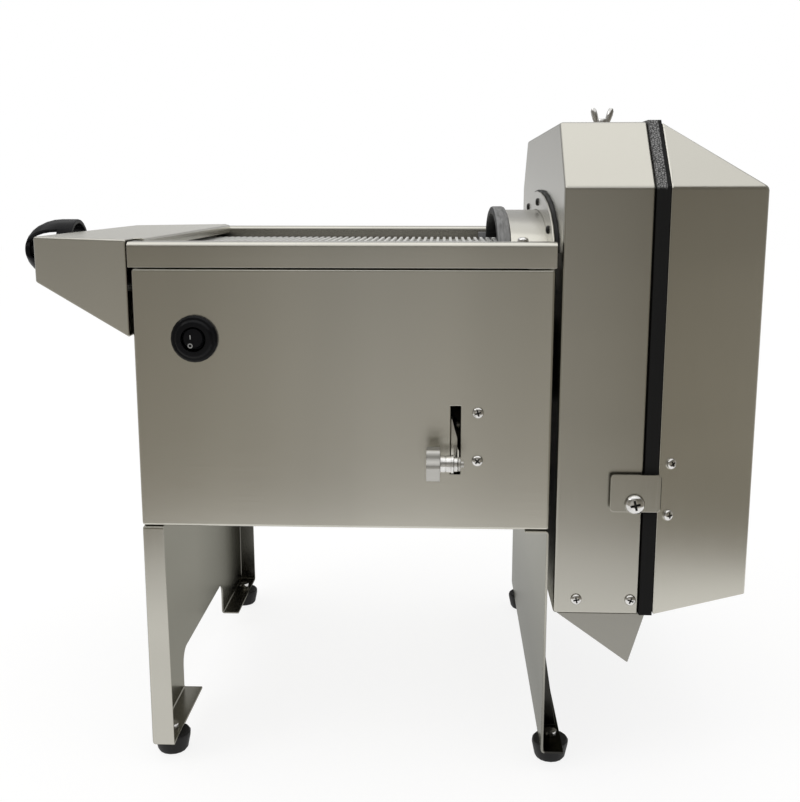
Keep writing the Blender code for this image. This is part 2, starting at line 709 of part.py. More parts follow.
def handwheel():
    """Bell-shaped wheel with windows between its spokes, on the take-up screw."""
    rim = nose_ends()[1] - WHEEL_OFF
    face = rim - WHEEL_DEPTH
    r, w, steps = WHEEL_R, WHEEL_WALL, 6
    centre = (MIDDLE, SCREW_Z)
    start = rim - WHEEL_RIM
    dome = arc((0, 0), (r, WHEEL_DEPTH - WHEEL_RIM), 0, WHEEL_DOME, steps)
    leans = [math.radians(WHEEL_DOME * i / steps) for i in range(steps + 1)]
    outer = [(r, rim)] + [(a, start - b) for a, b in dome]
    inner = [(a - w * math.cos(t), start - b + w * math.sin(t)) for (a, b), t in zip(dome, leans)]
    hub, bore = SCREW_R + WHEEL_HUB_WALL, SCREW_R + GAP
    seat, hub_end = face + WHEEL_FACE, face + WHEEL_HUB
    profile = outer + [(0, face), (0, seat), (bore, seat), (bore, hub_end), (hub, hub_end),
                       (hub, inner[-1][1] + 1 * MM)]
    profile += list(reversed(inner)) + [(r - w, rim)]
    wheel = turned("handwheel", profile, "X", centre, plastic(), WHEEL_SIDES)
    for k in range(WHEEL_WINDOWS):
        middle = WINDOW_START + 360 * k / WHEEL_WINDOWS
        one, two = middle - WINDOW_ANGLE / 2, middle + WINDOW_ANGLE / 2
        outline = arc(centre, hub + 3 * MM, one, two, 3) + arc(centre, r + PAST, two, one, 3)
        cut(wheel, prism_mesh(outline, "X", face - PAST, start + 1 * MM), f"wheel_window_{k + 1}_cut")
    end = TAIL_ROLLER_X - YOKE_REACH + 1.5 * MM
    profile = [(0, seat + GAP), (SCREW_R, seat + GAP), (SCREW_R, end), (0, end)]
    turned("takeup_screw", profile, "X", centre, bright(), ROUND_SIDES)


def notched_edge(low):
    """Bottom edge of the left stand's plate as (y, z): a rounded notch between its two feet."""
    notch, r = low + NOTCH_HEIGHT, NOTCH_FILLET
    edge = [(NOTCH_FROM, low)]
    edge += arc((NOTCH_FROM + r, notch - r), r, 180, 90, 4)
    edge += arc((NOTCH_TO - r, notch - r), r, 90, 0, 4)
    return edge + [(NOTCH_TO, low)]


def left_stand():
    """Bent sheet with a front and a back flange, a ledge under the body and two floor flanges."""
    x, w, low, top = 0.0, STAND_FLANGE, -STAND_DROP, -GAP
    outline = [(0, low)] + notched_edge(low) + [(BODY_DEPTH, low), (BODY_DEPTH, top), (0, top)]
    n = len(outline)
    last = n - 4
    pts = [(x, y, z) for y, z in outline]
    pts += [(x + w, y, low) for y in (0, NOTCH_FROM, NOTCH_TO, BODY_DEPTH)]
    pts += [(x + STAND_LEDGE, 0, top), (x + STAND_LEDGE, BODY_DEPTH, top)]
    faces = [tuple(range(n)), (0, n, n + 1, 1), (last, n + 2, n + 3, last + 1), (n - 1, n - 2, n + 5, n + 4),
             (0, n - 1, n + 4, n), (last + 1, n + 3, n + 5, n - 2)]
    inside = (x + STAND_LEDGE, MIDDLE, -STAND_DROP / 4)
    stand = shell("left_stand", pts, faces, inside, steel(), STAND_SHEET, STAND_BEND)
    bolt_holes(stand, x)


def right_stand():
    """Bent sheet with a straight floor flange, stiffened by a triangular web near each foot."""
    t = STAND_SHEET
    x, low, top = BODY_LENGTH - t, -STAND_DROP, -GAP - t
    path = [(x + STAND_FLANGE, low), (x, low), (x, top), (x - STAND_LEDGE, top)]
    outline = folded(path, t, STAND_BEND)
    stand = prism("right_stand", outline, "Y", 0, BODY_DEPTH, steel())
    bolt_holes(stand, x)
    bury, tip, step = t / 2, x + STAND_FLANGE - BEND, t + 1 * MM
    web = [(x + bury, low + bury), (tip, low + bury), (tip, low + step), (x + step, low + WEB_HEIGHT),
           (x + bury, low + WEB_HEIGHT)]
    for name, y in (("near", WEB_Y), ("far", BODY_DEPTH - WEB_Y - t)):
        join(stand, prism_mesh(web, "Y", y, y + t), f"right_stand_{name}_web_join")


def bolt_holes(stand, x):
    low = -STAND_DROP
    for end, y in (("near", FOOT_INSET), ("far", BODY_DEPTH - FOOT_INSET)):
        hole = rod_mesh("Z", (x + foot_offset(), y), BOLT_SHANK_R + GAP, low - PAST, low + PAST, SMALL_SIDES)
        cut(stand, hole, f"{stand.name}_{end}_bolt_cut")


def foot_offset():
    return STAND_SHEET + (STAND_FLANGE - STAND_SHEET) / 2


def feet():
    under = -STAND_DROP - GAP
    base = -STAND_DROP - FOOT_HEIGHT
    bore, depth = BOLT_SHANK_R + GAP, FOOT_BORE
    for side, x in (("left", 0.0), ("right", BODY_LENGTH - STAND_SHEET)):
        for end, y in (("near", FOOT_INSET), ("far", BODY_DEPTH - FOOT_INSET)):
            centre = (x + foot_offset(), y)
            floor = under - depth
            profile = [(0, floor), (bore, floor), (bore, under), (FOOT_TOP_R - 1.2 * MM, under),
                       (FOOT_TOP_R, under - 1.5 * MM), (FOOT_TOP_R, under - 4 * MM),
                       (FOOT_BASE_R + 1.5 * MM, base + 2 * MM), (FOOT_BASE_R, base), (0, base)]
            turned(f"{side}_{end}_foot", profile, "Z", centre, rubber(), FOOT_SIDES)
            seat = -STAND_DROP + STAND_SHEET + GAP
            top, tip = seat + BOLT_HEAD, floor + 1 * MM
            profile = [(0, top), (BOLT_HEAD_R, top), (BOLT_HEAD_R, seat), (BOLT_SHANK_R, seat),
                       (BOLT_SHANK_R, tip), (0, tip)]
            turned(f"{side}_{end}_foot_bolt", profile, "Z", centre, bright(), SMALL_SIDES)


def inset(points, distance):
    """Closed outline moved inwards by distance at every edge, with square corners kept square."""
    area = sum(points[i - 1][0] * p[1] - p[0] * points[i - 1][1] for i, p in enumerate(points))
    sign = 1 if area > 0 else -1
    moved = []
    for i, p in enumerate(points):
        a, b, c = Vector(points[i - 1]), Vector(p), Vector(points[(i + 1) % len(points)])
        one, two = (b - a).normalized(), (c - b).normalized()
        n1, n2 = Vector((-one.y, one.x)) * sign, Vector((-two.y, two.x)) * sign
        lean = n1 + n2
        moved.append(tuple(b + lean * distance / (lean.dot(n1))))
    return moved


def housing_face():
    """Face outline as (y, z) from the lower front corner over the top to the lower back corner."""
    c, d, top = CHAMFER, HOUSING_DEPTH, HOUSING_TOP
    return [(0, HOUSING_BOTTOM), (0, top - c), (c, top), (d - c, top), (d, top - c), (d, HOUSING_BOTTOM)]


def cutter_housing():
    face = housing_face()
    n = len(face)
    left, right = HOUSING_X, HOUSING_X + HOUSING_WIDTH
    lip = inset(face, RIM_FLANGE)
    pts = [(left, y, z) for y, z in face] + [(right, y, z) for y, z in face] + [(right, y, z) for y, z in lip]
    faces = [tuple(range(n))]
    for i in range(n):
        j = (i + 1) % n
        faces.append((i, j, n + j, n + i))
        if j:
            faces.append((n + i, n + j, 2 * n + j, 2 * n + i))
    middle = ((left + right) / 2, HOUSING_DEPTH / 2, (HOUSING_BOTTOM + HOUSING_TOP) / 2)
    housing = shell("cutter_housing", pts, faces, middle, steel())
    half, rise = INLET_HALF + GAP, INLET_RISE + GAP
    port = arch(half, rise) + [(MIDDLE - half, BODY_HEIGHT + 1 * MM), (MIDDLE + half, BODY_HEIGHT + 1 * MM)]
    cut(housing, prism_mesh(port, "X", left - PAST, left + PAST), "inlet_port_cut")
    shaft = rod_mesh("X", (SHAFT_Y, SHAFT_Z), SHAFT_R + SHAFT_CLEAR, left - PAST, left + PAST)
    cut(housing, shaft, "housing_shaft_cut")
    low = (left + DROP_FROM, DROP_MARGIN, HOUSING_BOTTOM - PAST)
    high = (right - DROP_TO, HOUSING_DEPTH - DROP_MARGIN, HOUSING_BOTTOM + PAST)
    cut(housing, box_mesh(low, high), "drop_opening_cut")
    # Welded stud for the wing nut
    base, end = HOUSING_TOP - SHEET / 2, HOUSING_TOP + WING_STUD_LENGTH
    join(housing, rod_mesh("Z", (WING_X, WING_Y), WING_STUD_R, base, end, SMALL_SIDES), "wing_stud_join")


def housing_gasket():
    face = housing_face()
    outer = inset(face, -GASKET_PROUD)
    inner = inset(face, GASKET_RIM)
    for line in (outer, inner):
        line[0] = (line[0][0], HOUSING_BOTTOM)
        line[-1] = (line[-1][0], HOUSING_BOTTOM)
    low = HOUSING_X + HOUSING_WIDTH + GAP
    prism("housing_gasket", outer + list(reversed(inner)), "X", low, low + GASKET_WIDTH, rubber())


def cover_x():
    return HOUSING_X + HOUSING_WIDTH + GAP + GASKET_WIDTH + GAP


def housing_cover():
    """Hood that tapers in plan and in height: its chamfers run out to a point at the end face."""
    face = housing_face()
    n, t, x = len(face), COVER_TAPER, cover_x()
    end = [(t, HOUSING_BOTTOM), (t, HOUSING_TOP - t), (HOUSING_DEPTH - t, HOUSING_TOP - t),
           (HOUSING_DEPTH - t, HOUSING_BOTTOM)]
    lip = inset(face, COVER_RIM)
    pts = [(x, y, z) for y, z in face] + [(x + COVER_LENGTH, y, z) for y, z in end]
    pts += [(x, y, z) for y, z in lip]
    faces = [(0, 1, n + 1, n), (1, 2, n + 1), (2, 3, n + 2, n + 1), (3, 4, n + 2), (4, 5, n + 3, n + 2),
             (n, n + 1, n + 2, n + 3)]
    for i in range(n - 1):
        faces.append((i, i + 1, n + 4 + i + 1, n + 4 + i))
    inside = (x + COVER_LENGTH / 3, HOUSING_DEPTH / 2, HOUSING_BOTTOM + CHAMFER)
    shell("housing_cover", pts, faces, inside, steel(), origin=(*hinge_axis(), 0))


def hinge_axis():
    return cover_x() - HINGE_BACK, HOUSING_DEPTH + HINGE_R + HINGE_OFF


def cover_hinge():
    """Butt hinge on the back: fixed leaf with its pin, and the cover's leaf."""
    ax, ay = hinge_axis()
    low, high = HINGE_Z, HINGE_Z + HINGE_HEIGHT
    step = HINGE_HEIGHT / KNUCKLES
    back = HOUSING_DEPTH
    web = (ay - HINGE_R - 0.4 * MM, ay - HINGE_R + 1.4 * MM)
    clear = HINGE_R + GAP
    edge = HOUSING_X + HOUSING_WIDTH - GAP
    leaf = box_mesh((edge - LEAF_WIDTH, back + GAP, low), (edge, back + GAP + LEAF_THICK, high))
    fixed = finish("hinge_fixed_leaf", leaf, bright())
    pin = rod_mesh("Z", (ax, ay), HINGE_PIN_R, low + 1 * MM, high + 2 * MM, SMALL_SIDES)
    join(fixed, pin, "pin_join")
    moving = cover_leaf(ax, ay, low, high, web)
    for k in range(KNUCKLES):
        z0, z1 = low + k * step + GAP / 2, low + (k + 1) * step - GAP / 2
        knuckle = rod_mesh("Z", (ax, ay), HINGE_R, z0, z1, ROUND_SIDES)
        if k % 2 == 0:
            join(fixed, box_mesh((edge - 2 * MM, web[0], z0), (ax, web[1], z1)), f"fixed_web_{k}_join")
            join(fixed, knuckle, f"fixed_knuckle_{k}_join")
        else:
            join(moving, box_mesh((ax, web[0], z0), (ax + clear + 1 * MM, web[1], z1)), f"cover_web_{k}_join")
            join(moving, knuckle, f"cover_knuckle_{k}_join")
            bore = rod_mesh("Z", (ax, ay), HINGE_PIN_R + RUN, z0 - 1 * MM, z1 + 1 * MM, SMALL_SIDES)
            cut(moving, bore, f"cover_bore_{k}_cut")


def cover_leaf(ax, ay, low, high, web):
    """Leaf that lies along the cover's tapered back."""
    slope = math.atan2(COVER_TAPER, COVER_LENGTH)
    along, out = Vector((math.cos(slope), -math.sin(slope))), Vector((math.sin(slope), math.cos(slope)))
    corner = Vector((cover_x(), HOUSING_DEPTH))
    near, far = corner + along * 1 * MM + out * 2 * GAP, corner + along * LEAF_WIDTH + out * 2 * GAP
    start = ax + HINGE_R + GAP
    t = LEAF_THICK
    outline = [(start, web[0]), (near.x, web[0]), tuple(near), tuple(far), tuple(far + out * t),
               tuple(near + along * 6 * MM + out * t), (near.x + 3 * MM, web[1]), (start, web[1])]
    return prism("hinge_cover_leaf", outline, "Z", low, high, bright(), origin=(ax, ay, 0))


def latch():
    """Plate on the cover's edge, held to the housing by a large screw."""
    right = cover_x() + LATCH_LEG + 0.2 * MM
    face = -LATCH_STANDOFF
    low, high = LATCH_Z, LATCH_Z + LATCH_HEIGHT
    r = LATCH_CORNER
    outline = (arc((LATCH_X + r, low + r), r, 180, 270, 3) + arc((right - r, low + r), r, 270, 360, 3)
               + arc((right - r, high - r), r, 0, 90, 3) + arc((LATCH_X + r, high - r), r, 90, 180, 3))
    origin = (*hinge_axis(), 0)
    plate = prism("latch_plate", outline, "Y", face - SHEET, face, steel(), origin)
    start = cover_x() + 0.1 * MM
    leg = box_mesh((start, face - SHEET / 3, low + r), (start + LATCH_LEG, -2 * GAP, high - r))
    join(plate, leg, "latch_leg_join")
    centre = (LATCH_SCREW_X, LATCH_SCREW_Z)
    cut(plate, rod_mesh("Y", centre, LATCH_SHANK_R + GAP, face - PAST, face + PAST), "latch_hole_cut")
    seat, tip, r = face - SHEET - GAP, -GASKET_PROUD - 2 * GAP, LATCH_HEAD_R
    head = seat - LATCH_HEAD
    profile = [(0, head), (r * 0.62, head), (r * 0.9, head + 1.2 * MM), (r, head + 3 * MM), (r, seat),
               (LATCH_SHANK_R, seat), (LATCH_SHANK_R, tip), (0, tip)]
    turned("latch_screw", profile, "Y", centre, bright(), LARGE_SIDES)


def inlet():
    """Arched tube into the housing with its flange, packing and the rubber trim round its mouth."""
    wall = HOUSING_X
    end = wall + SHEET
    tube = arch(INLET_HALF, INLET_RISE) + list(reversed(arch(INLET_HALF - SHEET, INLET_RISE - SHEET)))
    prism("inlet_tube", tube, "X", TUBE_X, end, steel())
    ring = arch(FLANGE_HALF, FLANGE_RISE) + list(reversed(arch(INLET_HALF + GAP, INLET_RISE + GAP)))
    packing_x = wall - GAP - INLET_PACKING
    prism("inlet_packing", ring, "X", packing_x, wall - GAP, rubber())
    flange_x = packing_x - GAP - FLANGE_THICK
    less = PACKING_PROUD
    shorter = arch(FLANGE_HALF - less, FLANGE_RISE - less)
    shorter += list(reversed(arch(INLET_HALF + GAP, INLET_RISE + GAP)))
    prism("inlet_flange", shorter, "X", flange_x, flange_x + FLANGE_THICK, steel())
    proud = TRIM_PROUD
    lip = arch(INLET_HALF + proud, INLET_RISE + proud)
    lip += list(reversed(arch(INLET_HALF - SHEET - proud, INLET_RISE - SHEET - proud)))
    prism("inlet_trim", lip, "X", TUBE_X - GAP - TRIM_LENGTH, TUBE_X - GAP, rubber())


def discharge_chute():
    z = HOUSING_BOTTOM - GAP
    x = CHUTE_X
    near, far = CHUTE_INSET, HOUSING_DEPTH - CHUTE_INSET
    section = [(x, z + SHEET), (x, z), (x + CHUTE_REACH, z - CHUTE_DROP), (x + CHUTE_MOUTH, z),
               (x + CHUTE_MOUTH, z + SHEET)]
    n = len(section)
    pts = [(a, near, b) for a, b in section] + [(a, far, b) for a, b in section]
    sides = [tuple(range(n)), (0, n, n + 1, 1), (1, n + 1, n + 2, 2), tuple(reversed(range(n, 2 * n)))]
    chute = shell("discharge_chute", pts, sides, (x + CHUTE_REACH, MIDDLE, z), steel(), bend=0)
    above = box_mesh((x - SHEET, -SHEET, z), (x + 2 * CHUTE_MOUTH, HOUSING_DEPTH + SHEET, z + 2 * SHEET))
    cut(chute, above, "chute_top_cut")


def wing_nut():
    seat = HOUSING_TOP + GAP
    centre = (WING_X, WING_Y)
    bore, top = WING_STUD_R + GAP, seat + WING_NUT_HEIGHT
    profile = [(bore, seat), (WING_NUT_R, seat), (WING_NUT_TOP_R, top), (bore, top)]
    nut = turned("wing_nut", profile, "Z", centre, bright(), ROUND_SIDES, origin=(WING_X, WING_Y, seat))
    r, half = WING_END_R, WING_THICK / 2
    for name, side in (("left", -1), ("right", 1)):
        wing = [(4.8 * MM, 2 * MM), (WING_SPAN - 1 * MM, 10 * MM)]
        wing += arc((WING_SPAN - 2.6 * MM, 20 * MM), r, -20, 150, 5)
        wing += [(4.6 * MM, 10 * MM)]
        outline = [(WING_X + side * a, seat + b) for a, b in wing]
        join(nut, prism_mesh(outline, "Y", WING_Y - half, WING_Y + half), f"wing_{name}_join")


def turned_box(x0, x1, r0, r1, half, turn):
    """Box from radius r0 to r1 along the disc, set at an angle about the cutter shaft."""
    bm = box_mesh((x0, -half, r0), (x1, half, r1))
    bmesh.ops.rotate(bm, verts=bm.verts, cent=(0, 0, 0), matrix=Matrix.Rotation(turn, 3, "X"))
    bmesh.ops.translate(bm, verts=bm.verts, vec=(0, SHAFT_Y, SHAFT_Z))
    return bm


def cutter():
    """Knife disc with its shaft, clamped by a hexagon nut."""
    x0, x1 = DISC_X, DISC_X + DISC_THICK
    bore = SHAFT_R + GAP
    centre = (SHAFT_Y, SHAFT_Z)
    hub = x1 + HUB_LENGTH
    profile = [(bore, x0), (DISC_R, x0), (DISC_R, x1), (HUB_R, x1), (HUB_TOP_R, hub), (bore, hub)]
    disc = turned("cutter_disc", profile, "X", centre, bright(), DISC_SIDES)
    knife_x = x0 - GAP - KNIFE_THICK
    for k in range(DISC_KNIVES):
        turn = 2 * math.pi * k / DISC_KNIVES + FIRST_KNIFE
        end = KNIFE_START + KNIFE_LENGTH
        window = turned_box(x0 - PAST, x1 + PAST, KNIFE_START, end, WINDOW_WIDTH / 2, turn)
        cut(disc, window, f"knife_window_{k + 1}_cut")
        back = knife_x + KNIFE_THICK
        bm = bmesh.new()
        section = [(knife_x, -KNIFE_WIDTH), (back, -KNIFE_WIDTH), (back, -KNIFE_EDGE - KNIFE_BEVEL),
                   (knife_x + KNIFE_FLAT, -KNIFE_EDGE), (knife_x, -KNIFE_EDGE)]
        ends = [[bm.verts.new((a, b, r)) for a, b in section]
                for r in (KNIFE_START - 2 * MM, end + 4 * MM)]
        bm.faces.new(ends[0])
        bm.faces.new(list(reversed(ends[1])))
        for i in range(len(section)):
            j = (i + 1) % len(section)
            bm.faces.new((ends[0][i], ends[0][j], ends[1][j], ends[1][i]))
        bmesh.ops.rotate(bm, verts=bm.verts, cent=(0, 0, 0), matrix=Matrix.Rotation(turn, 3, "X"))
        bmesh.ops.translate(bm, verts=bm.verts, vec=(0, SHAFT_Y, SHAFT_Z))
        finish(f"knife_{k + 1}", bm, bright(), origin=(x0, SHAFT_Y, SHAFT_Z), smooth=False)
    start, shoulder = PULLEY_X - SHAFT_PAST_PULLEY, hub - 2 * MM
    seat = hub + GAP
    end = seat + NUT_LENGTH + THREAD_PAST
    profile = [(0, start), (SHAFT_R, start), (SHAFT_R, shoulder), (THREAD_R, shoulder), (THREAD_R, end),
               (0, end)]
    turned("cutter_shaft", profile, "X", centre, bright(), LARGE_SIDES)
    bore = THREAD_R + GAP
    nut = [(bore, seat), (NUT_R, seat), (NUT_R, seat + NUT_LENGTH), (bore, seat + NUT_LENGTH)]
    turned("disc_nut", nut, "X", centre, bright(), SMALL_SIDES)


def bearings():
    x0, x1 = BEARING_HOUSING_X, HOUSING_X - GAP
    seat, mid = BEARING_R + GAP, SHAFT_R + SHAFT_CLEAR
    depth = BEARING_LENGTH + GAP
    behind = BODY_LENGTH + GAP
    profile = [(mid, x0 + depth), (seat, x0 + depth), (seat, x0), (BEARING_HOUSING_R, x0),
               (BEARING_HOUSING_R, behind), (BEARING_FLANGE_R, behind), (BEARING_FLANGE_R, x1),
               (seat, x1), (seat, x1 - depth), (mid, x1 - depth)]
    centre = (SHAFT_Y, SHAFT_Z)
    turned("bearing_housing", profile, "X", centre, dark_grey(), LARGE_SIDES)
    for name, low in (("inner_bearing", x0), ("outer_bearing", x1 - BEARING_LENGTH)):
        bore = SHAFT_R + RUN
        high = low + BEARING_LENGTH
        ring = [(bore, low), (BEARING_R, low), (BEARING_R, high), (bore, high)]
        turned(name, ring, "X", centre, bright(), LARGE_SIDES)


def pulley(name, centre, radius, bore):
    low, high = PULLEY_X, PULLEY_X + PULLEY_WIDTH
    middle = (low + high) / 2
    root, half = radius - GROOVE, GROOVE_HALF
    lip = half + 1 * MM
    profile = [(bore, low), (radius, low), (radius, middle - lip), (root, middle - half),
               (root, middle + half), (radius, middle + lip), (radius, high), (bore, high)]
    turned(name, profile, "X", centre, dark_grey(), LARGE_SIDES)


def main_drive():
    cutter_centre, motor_centre = (SHAFT_Y, SHAFT_Z), (MOTOR_Y, MOTOR_Z)
    pulley("cutter_pulley", cutter_centre, CUTTER_PULLEY_R, SHAFT_R + GAP)
    pulley("motor_pulley", motor_centre, MOTOR_PULLEY_R, MOTOR_SHAFT_R + GAP)
    middle, half = PULLEY_X + PULLEY_WIDTH / 2, DRIVE_BELT_HALF
    one, two = CUTTER_PULLEY_R - GROOVE, MOTOR_PULLEY_R - GROOVE
    lines = [loop_outline(((cutter_centre, one + off), (motor_centre, two + off)), 16)
             for off in (GROOVE - SIDE, SIDE)]
    band("drive_belt", lines[0], lines[1], "X", middle - half, middle + half, rubber())
    x0, x1 = MOTOR_X, MOTOR_X + MOTOR_LENGTH
    r, boss, end = MOTOR_R, MOTOR_BOSS_R, x1 + MOTOR_BOSS
    profile = [(0, x0), (MOTOR_BACK_R, x0), (r, x0 + 10 * MM), (r, x1 - 8 * MM), (MOTOR_FRONT_R, x1),
               (boss, x1), (boss, end), (0, end)]
    motor = turned("motor", profile, "X", motor_centre, dark_grey(), LARGE_SIDES)
    left, right, side = x0 + MOTOR_FOOT_INSET, x1 - MOTOR_FOOT_INSET, r - 6 * MM
    foot = box_mesh((left, MOTOR_Y - side, SHEET + GAP), (right, MOTOR_Y + side, MOTOR_FOOT_HEIGHT))
    join(motor, foot, "motor_foot_join")
    start, tip = end + GAP, PULLEY_X + PULLEY_WIDTH + 2 * MM
    profile = [(0, start), (MOTOR_SHAFT_R, start), (MOTOR_SHAFT_R, tip), (0, tip)]
    turned("motor_shaft", profile, "X", motor_centre, bright(), ROUND_SIDES)


def sprocket(name, centre, root, teeth):
    outline = []
    for k in range(teeth):
        for part, radius in ((-0.28, root), (-0.14, root + TOOTH), (0.14, root + TOOTH), (0.28, root)):
            turn = 2 * math.pi * (k + part) / teeth
            outline.append((centre[0] + radius * math.cos(turn), centre[1] + radius * math.sin(turn)))
    return prism(name, outline, "Y", SPROCKET_Y, SPROCKET_Y + SPROCKET_WIDTH, bright(),
                 origin=(centre[0], SPROCKET_Y, centre[1]))


def feed_drive():
    x, z = GEARMOTOR_X, GEARMOTOR_Z
    h = GEARMOTOR_SIDE / 2
    face = BRACKET_Y - GAP
    box_y = face - GEARBOX_LENGTH
    motor = finish("feed_gearmotor", box_mesh((x - h, box_y, z - h), (x + h, face, z + h)), dark_grey())
    can = rod_mesh("Y", (x, z), GEARMOTOR_R, box_y - GEARMOTOR_LENGTH, box_y + 2 * MM)
    join(motor, can, "gearmotor_can_join")
    sheet = BRACKET_SHEET
    low, high = SHEET + GAP, z + h + BRACKET_TOP
    path = [(BRACKET_Y - BRACKET_FOOT, low + sheet), (BRACKET_Y, low + sheet), (BRACKET_Y, high),
            (BRACKET_Y + sheet, high), (BRACKET_Y + sheet, low), (BRACKET_Y - BRACKET_FOOT, low)]
    bracket = prism("gearmotor_bracket", path, "X", x - h, x + h, steel())
    hole = rod_mesh("Y", (x, z), GEARMOTOR_SHAFT_R + 3 * MM, BRACKET_Y - PAST, BRACKET_Y + sheet + PAST)
    cut(bracket, hole, "bracket_hole_cut")
    small, large = (x, z), (DRIVE_ROLLER_X, TROUGH_FLOOR - DRIVE_ROLLER_R)
    near, far = SPROCKET_Y, SPROCKET_Y + SPROCKET_WIDTH
    pinion = sprocket("gearmotor_sprocket", small, SMALL_SPROCKET_R, SMALL_TEETH)
    shaft = rod_mesh("Y", small, GEARMOTOR_SHAFT_R, face + 2 * GAP, far + 2 * MM)
    join(pinion, shaft, "pinion_shaft_join")
    driven = sprocket("roller_sprocket", large, LARGE_SPROCKET_R, LARGE_TEETH)
    cut(driven, rod_mesh("Y", large, JOURNAL_R + GAP, near - PAST, far + PAST), "roller_sprocket_bore_cut")
    one, two = LARGE_SPROCKET_R + TOOTH, SMALL_SPROCKET_R + TOOTH
    lines = [loop_outline(((large, one + off), (small, two + off)), BELT_SIDES)
             for off in (GAP + CHAIN_THICK, GAP)]
    band("feed_chain", lines[0], lines[1], "Y", near, far, bright())


def bar_outline(one, two, half):
    """Bar with round ends from one point to another."""
    a, b = Vector(one), Vector(two)
    lean = math.degrees(math.atan2(b.y - a.y, b.x - a.x))
    return arc(tuple(b), half, lean - 90, lean + 90, 8) + arc(tuple(a), half, lean + 90, lean + 270, 8)


def feed_lever():
    x0, x1 = SLOT_X - LEVER_THICK / 2, SLOT_X + LEVER_THICK / 2
    pivot, knob = (LEVER_PIVOT_Y, LEVER_PIVOT_Z), (LEVER_KNOB_Y, LEVER_KNOB_Z)
    pin = LEVER_PIN_R
    lever = prism("feed_lever", bar_outline(pivot, knob, LEVER_WIDTH / 2), "X", x0, x1, bright(),
                  origin=(SLOT_X, *pivot))
    cut(lever, rod_mesh("X", pivot, pin + RUN, x0 - PAST, x1 + PAST), "lever_pivot_cut")
    cut(lever, rod_mesh("X", knob, KNOB_SCREW_R + GAP, x0 - PAST, x1 + PAST, SMALL_SIDES), "lever_screw_cut")
    lever_bracket(x0, x1, pivot)
    hub = x0 - GAP
    face = hub - KNOB_HUB_LENGTH
    outline = []
    steps = KNOB_LOBES * KNOB_LOBE_STEPS
    for k in range(steps):
        turn = 2 * math.pi * k / steps
        radius = KNOB_R - KNOB_LOBE_DEPTH * (1 - math.cos(KNOB_LOBES * turn)) / 2
        outline.append((knob[0] + radius * math.cos(turn), knob[1] + radius * math.sin(turn)))
    grey = material("grey_knob", (0.55, 0.54, 0.51), 0.35)
    star = prism("lever_knob", outline, "X", face - KNOB_LENGTH, face, grey, origin=(face, *knob))
    join(star, rod_mesh("X", knob, KNOB_HUB_R, face - 1 * MM, hub), "knob_hub_join")
    screw = rod_mesh("X", knob, KNOB_SCREW_R, hub - 1 * MM, x1 + KNOB_SCREW_PAST, SMALL_SIDES)
    join(star, screw, "knob_screw_join")
    join(star, rod_mesh("X", knob, KNOB_WASHER_R, x1 + GAP, x1 + KNOB_WASHER), "knob_washer_join")


def lever_bracket(x0, x1, pivot):
    """Bracket behind the panel with the lever's pivot pin."""
    plate, pin, wall = x1 + LEVER_BRACKET_OFF, LEVER_PIN_R, SHEET + GAP
    t, low = LEVER_BRACKET_SHEET, LEVER_BRACKET_LOW
    side = box_mesh((plate, wall + t / 4, low), (plate + t, pivot[0] + 14 * MM, pivot[1] + 18 * MM))
    bracket = finish("lever_bracket", side, steel())
    tab = box_mesh((plate, wall, low), (plate + LEVER_BRACKET_TAB, wall + t, SLOT_HIGH))
    join(bracket, tab, "bracket_face_join")
    join(bracket, rod_mesh("X", pivot, pin, x0 - 2 * MM, plate + 1 * MM), "pivot_pin_join")
    join(bracket, rod_mesh("X", pivot, LEVER_PIN_HEAD_R, x0 - 4 * MM, x0 - GAP), "pivot_head_join")


def rocker_switch():
    centre = (SWITCH_X, SWITCH_Z)
    r, proud, pocket, behind = SWITCH_R, SWITCH_PROUD, ROCKER_R + ROCKER_CLEAR, SWITCH_BEHIND
    profile = [(0, behind), (SWITCH_HOLE_R, behind), (SWITCH_HOLE_R, -GAP), (r, -GAP), (r, -2.6 * MM),
               (r - 1.6 * MM, -4.4 * MM), (r - 3.4 * MM, -4.8 * MM), (r - 4.6 * MM, -proud + 0.6 * MM),
               (r - 5.6 * MM, -proud), (pocket, -proud), (pocket, ROCKER_SEAT), (0, ROCKER_SEAT)]
    turned("switch_body", profile, "Y", centre, plastic(), SWITCH_SIDES)
    profile = [(0, 1 * MM), (ROCKER_R - 0.6 * MM, 1 * MM), (ROCKER_R, 0), (ROCKER_R - 0.6 * MM, -4.5 * MM),
               (ROCKER_R - 2 * MM, -7.6 * MM), (0, -8 * MM)]
    bm = turned_mesh(profile, "Y", centre, SWITCH_SIDES)
    tilt = Matrix.Rotation(-ROCKER_TILT, 3, "X")
    bmesh.ops.rotate(bm, verts=bm.verts, cent=(SWITCH_X, 0, SWITCH_Z), matrix=tilt)
    finish("switch_rocker", bm, plastic(), origin=(SWITCH_X, 0, SWITCH_Z))


def cord_gland():
    r, neck, bore = GLAND_R, GLAND_NECK_R, GLAND_BORE_R
    inside, outside = BODY_DEPTH - SHEET - GAP, BODY_DEPTH + GAP
    start, cap, tip = inside - GLAND_NUT, outside + GLAND_CAP, outside + GLAND_TIP
    profile = [(bore, start), (r, start), (r, inside), (neck, inside), (neck, outside), (r, outside),
               (r, cap), (GLAND_TIP_R, tip), (bore, tip)]
    turned("cord_gland", profile, "Y", (GLAND_X, GLAND_Z), plastic(), ROUND_SIDES)


BUILD = [front_panel, body_frame, base_plate, feed_trough, nose_hood, conveyor_belt, rollers, takeup_yoke,
         handwheel, left_stand, right_stand, feet, cutter_housing, housing_gasket, housing_cover, cover_hinge,
         latch, inlet, discharge_chute, wing_nut, cutter, bearings, main_drive, feed_drive, feed_lever,
         rocker_switch, cord_gland]


